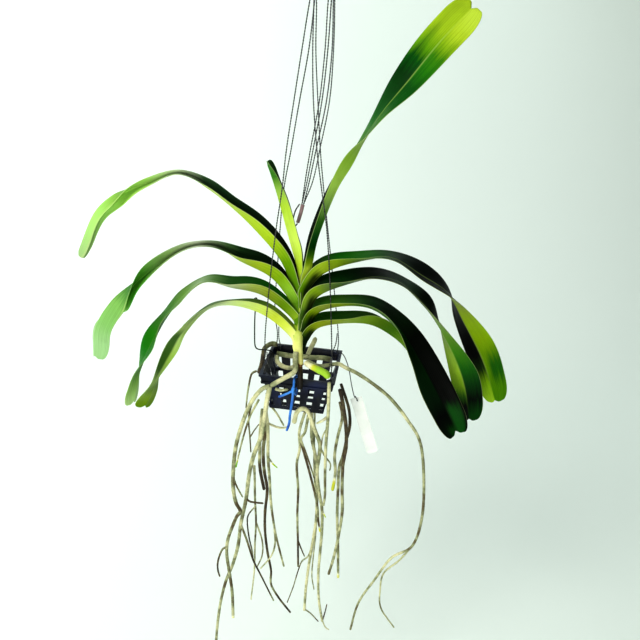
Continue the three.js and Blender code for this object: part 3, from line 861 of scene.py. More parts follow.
@dataclass
class Leaf:
    """A strap leaf folded along its keel. A station is x, y, z, roll and fold in degrees."""

    name: str
    side: Side
    half_width: float
    stations: Sequence[Sequence[float]]
    finish: LeafFinish
    sheath: Sequence[Sequence[float]] = ()
    base_share: float = 0.62
    base_start: float = -0.04
    base_reach: float = 0.2
    tip_share: float = 0.9
    tip_start: float = 0.7
    sheath_share: float = 0.4
    sheath_start: float = -0.25
    keel_thickness: float = 1.9
    edge_thickness: float = 0.9
    edge_thinning: float = 1.3
    edge_rounding: float = 0.1
    least_lean: float = 0.2
    keel_height: float = 0.5
    keel_width: float = 0.05
    keel_softness: float = 0.06
    ripple: float = 0.25
    ripple_across: float = 9.0
    ripple_along: float = 11.0
    tip_rounding: float = 1.2
    end_share: float = 0.5
    end_rounding: float = 1.5
    last_rows: tuple[float, ...] = (0.4, 0.7, 0.88, 0.97)
    notch: float = 4.5
    notch_reach: float = 9.0
    notch_narrowing: float = 2.2
    row_spacing: float = 2.0

    def half_width_at(self, along: float) -> float:
        """Returns the half width part of the way along, without the tip's rounding.

        Args:
            along: 0 where the blade leaves the stem, below 0 on its sheath, and 1 at the tip.

        Returns:
            The half width in millimetres.
        """
        if along < 0.0:
            rise = smoothstep(along, self.sheath_start, 0.0)
            return self.half_width * blend(self.sheath_share, self.base_share, rise)
        base = blend(self.base_share, 1.0, smoothstep(along, self.base_start, self.base_reach))
        return self.half_width * base * blend(1.0, self.tip_share, smoothstep(along, self.tip_start, 1.0))

    def along_at(self, share: float) -> float:
        """Turns a share of the whole route, sheath and blade, into a share of the blade."""
        spans = len(self.sheath) + len(self.stations) - 1
        return (share * spans - len(self.sheath)) / (len(self.stations) - 1)

    def section(self, route: SmoothRoute, share: float, to_tip: float) -> list[Vector]:
        """Finds the closed outline across the leaf at one station.

        Args:
            route: the whole keel, sheath and blade.
            share: how far along the route it is.
            to_tip: the length left to the tip.

        Returns:
            Points along the under face and back along the upper face.
        """
        values = route.at(share)
        keel, heading = Vector(values[:3]), route.heading(share)
        roll, fold = math.radians(values[3]), math.radians(values[4])
        front = (FRONT - heading * FRONT.dot(heading)).normalized()
        up = heading.cross(front) * self.side.value
        inward = up * math.cos(roll) + front * math.sin(roll)
        across = front * math.cos(roll) - up * math.sin(roll)
        closeness = max(0.0, 1.0 - to_tip / (self.tip_rounding * self.half_width))
        width = self.half_width_at(self.along_at(share))
        width *= blend(self.end_share, 1.0, math.sqrt(1.0 - closeness**2))
        notch = self.notch * smoothstep(to_tip, self.notch_reach, 0.0)
        end = math.sqrt(min(1.0, to_tip / self.end_rounding))
        lean = max(math.sin(fold), self.least_lean)
        under, upper = [], []
        for column in ACROSS:
            out = abs(column)
            rise = (math.hypot(column, self.keel_softness) - self.keel_softness) * width * math.cos(fold)
            wave = self.ripple * math.sin(column * self.ripple_across + share * self.ripple_along) * out
            point = keel + across * (column * width * math.sin(fold)) + inward * (rise + wave)
            point -= heading * (notch * max(0.0, 1.0 - self.notch_narrowing * out))
            to_edge = max(0.0, (out - 1.0 + self.edge_rounding) / self.edge_rounding)
            edge = math.sqrt(max(0.0, 1.0 - to_edge**2))
            thick = blend(self.keel_thickness, self.edge_thickness, min(1.0, out * self.edge_thinning))
            thick *= edge * end
            ridge = self.keel_height * math.exp(-((column / self.keel_width) ** 2)) * end
            under.append(point - inward * ridge)
            upper.append(point + inward * (thick / lean))
        return under + upper[-2:0:-1]

    def build(self) -> bpy.types.Object:
        """Weaves the blade and closes it.

        Returns:
            The blade.
        """
        route = SmoothRoute((*self.sheath, *self.stations))
        shares = route.even_shares(self.row_spacing)
        shares = [*shares[:-1], *(blend(shares[-2], 1.0, row) for row in self.last_rows), 1.0]
        to_tips = lengths_left([route.place(share) for share in shares])
        rings = [self.section(route, share, left) for share, left in zip(shares, to_tips)]
        columns = [*ACROSS, *ACROSS[-2:0:-1]]
        around = len(columns)
        blade = Bench.woven(
            self.name,
            around,
            len(rings) - 1,
            lambda i, j: rings[j][i % around],
            {
                "across": lambda i, j: columns[i % around],
                "along": lambda i, j: self.along_at(shares[j]),
                "upper": lambda i, j: 1.0 if i % around >= len(ACROSS) else 0.0,
            },
        )
        Bench.close(blade)
        return blade

    def dress(self) -> None:
        """Builds the leaf and hands it in with its finish."""
        skin = self.finish.make(f"{self.name}_skin")
        Bench.hand_in(self.build(), skin, Slot.LEAF, self.name.replace("blade", "leaf"))


@dataclass
class Stalk:
    """A round stalk along a smooth route, with its radius and colour running from start to end."""

    start: float
    end: float
    route: Sequence[Point]
    tones: Sequence[float] = (0.3,)
    live: float = 0.0
    live_reach: float = 14.0
    live_core: float = 0.4
    sides: int = 10
    spacing: float = 1.6
    lumps: float = 0.07
    lump_scales: tuple[float, float] = (0.09, 0.31)
    rounded: bool = True
    rounding: float = 1.6

    def radius_at(self, cross: Cross, left: float) -> float:
        """Finds the radius at a station.

        Args:
            cross: the station.
            left: the length left to the end.

        Returns:
            The radius in millimetres, with its lumps and the rounding of a free end.
        """
        size = blend(self.start, self.end, cross.share)
        size *= 1.0 + self.lumps * sum(noise.noise(cross.place * scale) for scale in self.lump_scales)
        reach = size * self.rounding
        if self.rounded and left < reach:
            size *= math.sqrt(max(0.0, 1.0 - (1.0 - left / reach) ** 2))
        return size

    def build(self, name: str) -> bpy.types.Object:
        """Sweeps the stalk.

        Args:
            name: its name.

        Returns:
            The stalk, closed at both ends.
        """
        path = SmoothRoute(self.route)
        crosses = crosses_along(path, path.even_shares(self.spacing))
        left = lengths_left([cross.place for cross in crosses])
        radii = [self.radius_at(cross, rest) for cross, rest in zip(crosses, left)]
        tones = SmoothRoute([(tone,) for tone in (self.tones if len(self.tones) > 1 else self.tones * 2)])
        full_live = self.live_reach * self.live_core

        def lay(i: int, j: int) -> Vector:
            """Returns the place of a point of the skin."""
            return crosses[j].place + crosses[j].outward(i % self.sides / self.sides) * radii[j]

        traits = {
            "tone": lambda i, j: min(1.0, max(0.0, tones.at(crosses[j].share)[0])),
            "live": lambda i, j: self.live * smoothstep(left[j], self.live_reach, full_live),
        }
        stalk = Bench.woven(name, self.sides, len(crosses) - 1, lay, traits)
        Bench.close(stalk)
        return stalk


@dataclass
class Joined:
    """Stalks that are swept one by one and joined into one piece."""

    name: str
    stalks: Sequence[Stalk]
    slot: Slot
    node: str

    def build(self) -> bpy.types.Object:
        """Sweeps every stalk and joins them.

        Returns:
            The piece.
        """
        parts = [stalk.build(f"{self.name}_part_{count}") for count, stalk in enumerate(self.stalks)]
        return Bench.join(self.name, parts)

    def dress(self, material: bpy.types.Material) -> None:
        """Builds the piece and hands it in with its finish."""
        Bench.hand_in(self.build(), material, self.slot, self.node)


# Painted shade in the dark hollow under a leaf's keel where the next leaf leaves the stem
AXIL_SHADE = Wash(Face.UNDER, (-1.2, 0.6), (-0.4, 0.1), "0A1A06", 0.92, 0.5)

# Each leaf's colour stops and washes hold the leaf's own greens together with painted shade, near black where
# the blade lies in deep shadow, and painted light, paler where the blade catches the light.
LEAVES = (
    Leaf("blade_left_0", Side.LEFT, 14.0, (
        (-14, -10, 141, 0, 30), (-24, -8, 172, -5, 35), (-37, -4, 212, -5, 35), (-48, 0, 243, -5, 55),
        (-57, 2, 265, 10, 65)),
        LeafFinish(
            under=(
                (0.0, "B9D637"), (0.25, "CAE562"), (0.5, "AFD040"), (0.62, "95B951"), (0.78, "37780A"),
                (1.0, "2F7607")),
            upper=((0.0, "5E7A22"), (0.4, "1E4A14"), (1.0, "1F4A18"))),
        sheath=((-9.5, -13, 116, 0, 40), (-11, -12, 128, 0, 35))),
    Leaf("blade_left_1", Side.LEFT, 20.0, (
        (-20, -12, 117, 5, 25), (-36, -11, 149, 5, 25), (-68, -8, 183, 25, 18), (-98, -4, 208, 50, 15),
        (-128, 0, 228, 55, 15), (-161, 4, 243, 76, 9), (-197, 7, 229, 78, 15), (-225, 8, 220, 104, 18),
        (-248, 6, 209, 138, 20), (-272, 4, 184, 150, 17), (-295, 0, 132, 150, 6)),
        LeafFinish(
            under=(
                (0.0, "5E8C10"), (0.08, "6E9E09"), (0.15, "B0CE2A"), (0.27, "B7D236"), (0.38, "C4D870"),
                (0.46, "D1E3A3"), (0.55, "8FA44A"), (1.0, "98B77C")),
            upper=(
                (0.0, "060B04"), (0.12, "10180F"), (0.25, "132A14"), (0.36, "1F3B21"), (0.42, "3C5E38"),
                (0.5, "DDEBC8"), (0.6, "B5DB7A"), (0.75, "A8DB60"), (0.88, "A5D971"), (1.0, "98B77C")),
            under_back=(
                (0.0, "4E7B13"), (0.5, "A9B5A0"), (0.56, "7B905E"), (0.63, "6E9931"), (0.7, "679732"),
                (0.8, "8DBE4C"), (0.9, "A5D971"), (1.0, "98B77C"))),
        sheath=((-12, -15.5, 90, 0, 38), (-15, -14, 104, 0, 32)),
        tip_share=0.65),
    Leaf("blade_left_2", Side.LEFT, 22.0, (
        (-17, -14, 89, 0, 25), (-44, -14, 123, 0, 27), (-85, -12, 142, 38, 22), (-121, -10, 160, 70, 11),
        (-156, -12, 151, 70, 12), (-195, -16, 123, 75, 20), (-224, -20, 102, 117, 12),
        (-248, -24, 79, 174, 17), (-269, -26, 43, 232, 50), (-274, -26, -2, 240, 56)),
        LeafFinish(
            under=(
                (0.0, "5E8A18"), (0.05, "91BD3A"), (0.1, "89B013"), (0.16, "B4CB2F"), (0.23, "B5CD34"),
                (0.28, "CBD794"), (0.36, "D5DFB0"), (0.5, "7A9A50"), (0.75, "7EB05C"), (1.0, "A2CC90")),
            upper=(
                (0.0, "060B04"), (0.1, "0A0E09"), (0.17, "0F2810"), (0.24, "1B3A1A"), (0.28, "4D713E"),
                (0.34, "A5B595"), (0.38, "D6DEC8"), (0.48, "9DBB78"), (0.58, "559A30"), (0.68, "3F9A1E"),
                (0.78, "8CC860"), (1.0, "A8DC88")),
            under_back=(
                (0.0, "4E7B13"), (0.38, "A3B088"), (0.44, "81955C"), (0.5, "527530"), (0.58, "3F7322"),
                (0.66, "33761E"), (0.7, "5B9040"), (0.76, "7EB05C"), (0.86, "8CC070"), (0.94, "A2CC90"))),
        sheath=((-12, -18, 62, 0, 38), (-14, -16, 77, 0, 32))),
    Leaf("blade_left_3", Side.LEFT, 21.0, (
        (-16, -16, 70, 0, 25), (-54, -18, 100, 0, 30), (-95, -18, 108, -3, 62), (-128, -18, 113, -5, 80),
        (-157, -20, 89, 10, 80), (-178, -24, 61, 8, 75), (-195, -28, 27, 30, 70), (-211, -32, -9, 5, 75),
        (-218, -34, -39, -10, 75), (-223, -35, -62, -20, 75)),
        LeafFinish(
            under=(
                (0.0, "8FAE2C"), (0.05, "6E9410"), (0.1, "96A831"), (0.15, "BAC864"), (0.22, "D8E0B0"),
                (0.3, "8CA05C"), (0.42, "4E8A20"), (0.6, "2F7A10"), (0.75, "3E8A18"), (0.85, "9CC868"),
                (1.0, "C5E49D")),
            upper=(
                (0.03, "256C0B"), (0.1, "0B5607"), (0.18, "1F5218"), (0.24, "27571C"), (0.3, "5B8442"),
                (0.35, "8FAA7C"), (0.42, "6A9438"), (0.5, "3F7A18"), (0.58, "2F6A0A"), (0.64, "1F7305"),
                (0.72, "0E7401"), (0.77, "287C06"), (0.82, "7AA82C"), (0.86, "C5EC9F"), (1.0, "C6E39D"))),
        sheath=((-11.5, -23, 42, 0, 38), (-13.5, -19, 56, 0, 32))),
    Leaf("blade_left_4", Side.LEFT, 21.0, (
        (-17, -18, 45, 0, 25), (-50, -22, 74, -10, 40), (-89, -26, 87, -20, 70), (-122, -30, 81, -10, 80),
        (-149, -34, 50, -5, 65), (-162, -40, 21, -5, 42), (-186, -46, -16, -5, 82),
        (-195, -50, -39, -25, 80), (-204, -52, -57, -45, 75)),
        LeafFinish(
            under=(
                (0.0, "EBF09A"), (0.05, "DAE75D"), (0.1, "CBD942"), (0.16, "D6E774"), (0.24, "D1E68D"),
                (0.33, "C2D0A4"), (0.4, "A6BA75"), (0.5, "A4BE69"), (0.56, "C5E488"), (0.64, "B5D864"),
                (0.72, "9CBC58"), (0.8, "769846"), (0.87, "83A335"), (0.94, "729512"), (1.0, "678D02")),
            upper=(
                (0.0, "9DB03E"), (0.15, "5E7E2E"), (0.3, "6E8A50"), (0.45, "5E8A3A"), (0.55, "235410"),
                (0.7, "345C1B"), (0.8, "769846"), (1.0, "678D02")),
            washes=(
                Wash(Face.UNDER, (0.42, 1.1), (0.5, 0.72), "2A5C15", 0.92, 0.2),
                Wash(Face.UNDER, (0.55, 1.1), (0.3, 0.46), "6E8A50", 0.6, 0.3))),
        sheath=((-8.5, -30, 22, 0, 42), (-12.5, -24, 32, 0, 35))),
    Leaf("blade_right_1", Side.RIGHT, 22.0, (
        (5, -15, 139, 5, 25), (11, -12, 179, 8, 44), (29, -8, 236, -2, 56), (46, -5, 269, -10, 60),
        (59, 0, 298, 0, 80), (78, 0, 330, 15, 80), (103, 0, 365, 45, 75), (132, 0, 407, 70, 70),
        (164, -5, 447, 80, 65)),
        LeafFinish(
            under=(
                (0.0, "BCD43F"), (0.03, "7F9D08"), (0.06, "3D7206"), (0.09, "023B05"), (0.13, "06500B"),
                (0.17, "36780F"), (0.21, "8FB458"), (0.27, "B7DD60"), (0.38, "9AC440"), (0.5, "99BA5E"),
                (1.0, "7FA832")),
            upper=(
                (0.0, "131C13"), (0.3, "131C13"), (0.5, "407717"), (0.56, "136706"), (0.61, "09550C"),
                (0.68, "08430D"), (0.76, "07350A"), (0.81, "07500B"), (0.85, "5A9009"), (0.91, "9BB81F"),
                (1.0, "A9C22A")),
            upper_front=(
                (0.5, "376926"), (0.6, "377518"), (0.66, "0F560F"), (0.74, "0F5011"), (0.8, "24700A"),
                (0.84, "387A02"), (0.88, "7DA20B"), (0.92, "A6BE26"), (0.97, "B1C83C")),
            midrib=0.35),
        sheath=((-1, -14.5, 112, 0, 38), (1, -14, 126, 0, 32)),
        base_share=0.5, base_reach=0.4, tip_share=1.0),
    Leaf("blade_right_2", Side.RIGHT, 24.0, (
        (4, -14, 112, 5, 25), (23, -14, 135, -4, 38), (59, -14, 151, -5, 66), (102, -12, 158, -2, 80),
        (142, -12, 138, 15, 70), (180, -14, 116, 0, 80), (205, -16, 81, -35, 80), (238, -18, 28, -70, 70),
        (264, -20, -32, -75, 60)),
        LeafFinish(
            under=(
                (0.0, "6D9E09"), (0.04, "88AF20"), (0.08, "9BB925"), (0.13, "AFC831"), (0.2, "8BAA1C"),
                (0.26, "6C8E34"), (0.35, "5A7A48"), (0.5, "4A6A44"), (0.62, "8FA44A"), (0.69, "98AF32"),
                (0.76, "8FB020"), (0.81, "82A40B"), (0.85, "699003"), (0.97, "4A8003")),
            upper=(
                (0.12, "385A28"), (0.19, "146409"), (0.25, "1F650B"), (0.31, "1D5E0E"), (0.36, "164212"),
                (0.41, "0A240C"), (0.47, "050F08"), (0.55, "060C08"), (0.65, "040505"), (1.0, "102A0A")),
            under_back=(
                (0.0, "3E6E10"), (0.3, "24501A"), (0.55, "1A2E18"), (0.63, "0C180C"), (0.7, "030503"),
                (0.86, "020302"), (0.9, "1E3A0C"), (0.94, "7BA70C"), (1.0, "91B724")),
            washes=(Wash(Face.UNDER, (0.25, 1.1), (0.865, 0.94), "0A560A", 0.9, 0.3), AXIL_SHADE),
            midrib=0.3),
        sheath=((-0.5, -16.5, 86, 0, 38), (1, -15, 99, 0, 32))),
    Leaf("blade_right_3", Side.RIGHT, 23.0, (
        (6, -16, 80, 5, 25), (17, -16, 104, 5, 28), (49, -16, 121, 5, 55), (85, -18, 133, 0, 72),
        (117, -22, 129, 0, 78), (146, -28, 107, 10, 68), (168, -34, 83, -5, 78), (194, -40, 43, -35, 80),
        (213, -44, 1, -65, 68), (226, -46, -48, -75, 62)),
        LeafFinish(
            under=(
                (0.0, "547B24"), (0.04, "8EB033"), (0.08, "9ABA37"), (0.12, "94B320"), (0.17, "7B964E"),
                (0.22, "466C22"), (0.35, "4A6A4E"), (0.55, "45653E"), (0.63, "7E9A4E"), (0.7, "6A9432"),
                (0.76, "3E7A10"), (0.82, "1C5A10"), (0.88, "09370D"), (0.93, "030905"), (0.98, "093D0C")),
            upper=(
                (0.12, "072A09"), (0.2, "0A3A0C"), (0.27, "0C250E"), (0.34, "0C1A0D"), (0.42, "1E3321"),
                (0.48, "2B462E"), (0.54, "09140A"), (1.0, "0C160E")),
            under_back=(
                (0.0, "3E6414"), (0.5, "2B462E"), (0.68, "6E8450"), (0.78, "88A83D"), (0.84, "89AA2A"),
                (0.89, "6D9318"), (0.92, "2E5B0E"), (0.95, "010102"), (1.0, "04160A")),
            washes=(AXIL_SHADE,), midrib=0.2),
        sheath=((0.5, -20.5, 56, 0, 38), (2.5, -18, 68, 0, 32))),
    Leaf("blade_right_4", Side.RIGHT, 23.0, (
        (8, -18, 58, 0, 28), (18, -18, 82, -4, 50), (51, -22, 95, -7, 66), (85, -30, 96, 0, 64),
        (115, -42, 79, 15, 60), (141, -58, 50, 45, 56), (167, -70, 13, 65, 68), (189, -78, -21, 75, 66),
        (203, -82, -45, 80, 60)),
        LeafFinish(
            under=(
                (0.0, "2E4B14"), (0.04, "3C5E14"), (0.08, "648609"), (0.12, "90AA13"), (0.17, "9CA949"),
                (0.23, "8CA21D"), (0.32, "4A7212"), (0.5, "2A5A14"), (1.0, "123A0C")),
            upper=(
                (0.14, "306511"), (0.22, "396B0D"), (0.29, "2C5B19"), (0.36, "0C350C"), (0.42, "0F1F0F"),
                (0.5, "0A1C0A"), (0.57, "020502"), (1.0, "010201")),
            upper_front=(
                (0.3, "2C5B19"), (0.42, "1D4C12"), (0.48, "23640A"), (0.54, "063A06"), (0.6, "042207"),
                (0.72, "052308"), (0.8, "071A09"), (0.86, "030504"), (1.0, "071907")),
            washes=(
                AXIL_SHADE,
                Wash(Face.UPPER, (-0.8, -0.1), (0.84, 1.1), "0A4A0C", 0.85, 0.3),
                Wash(Face.UPPER, (-0.1, 0.5), (0.94, 1.1), "0B450B", 0.7, 0.3)),
            midrib=0.0),
        sheath=((0.5, -25, 35, 0, 38), (3.5, -21, 46, 0, 32))),
    Leaf("blade_right_5", Side.RIGHT, 21.0, (
        (7, -20, 44, 0, 28), (20, -18, 61, -1, 45), (53, -12, 67, -5, 57), (86, -4, 64, -16, 46),
        (114, 2, 49, -18, 52), (138, 6, 28, -8, 70), (162, 8, -6, 20, 68), (180, 8, -42, 35, 68)),
        LeafFinish(
            under=(
                (0.0, "223C0F"), (0.05, "4E6A10"), (0.09, "7A900F"), (0.14, "98A815"), (0.22, "91A12D"),
                (0.3, "87A127"), (0.38, "799A1B"), (0.46, "56760B"), (0.55, "416C06"), (0.66, "5F8312"),
                (1.0, "3A6A10")),
            upper=((0.1, "285C0F"), (0.3, "2B6607"), (0.45, "406C04"), (0.6, "2A5A0C"), (1.0, "12300C")),
            washes=(AXIL_SHADE,)),
        sheath=((0.5, -30, 24, 0, 38), (3, -24.5, 33, 0, 32))),
)


@dataclass
class Root(Joined):
    """An aerial root: its main stalk and the branches that grow from it."""

    slot: Slot = Slot.ROOT
    node: str = ""

    def __post_init__(self) -> None:
        """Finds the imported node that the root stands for."""
        self.node = self.name.removeprefix("aerial_")


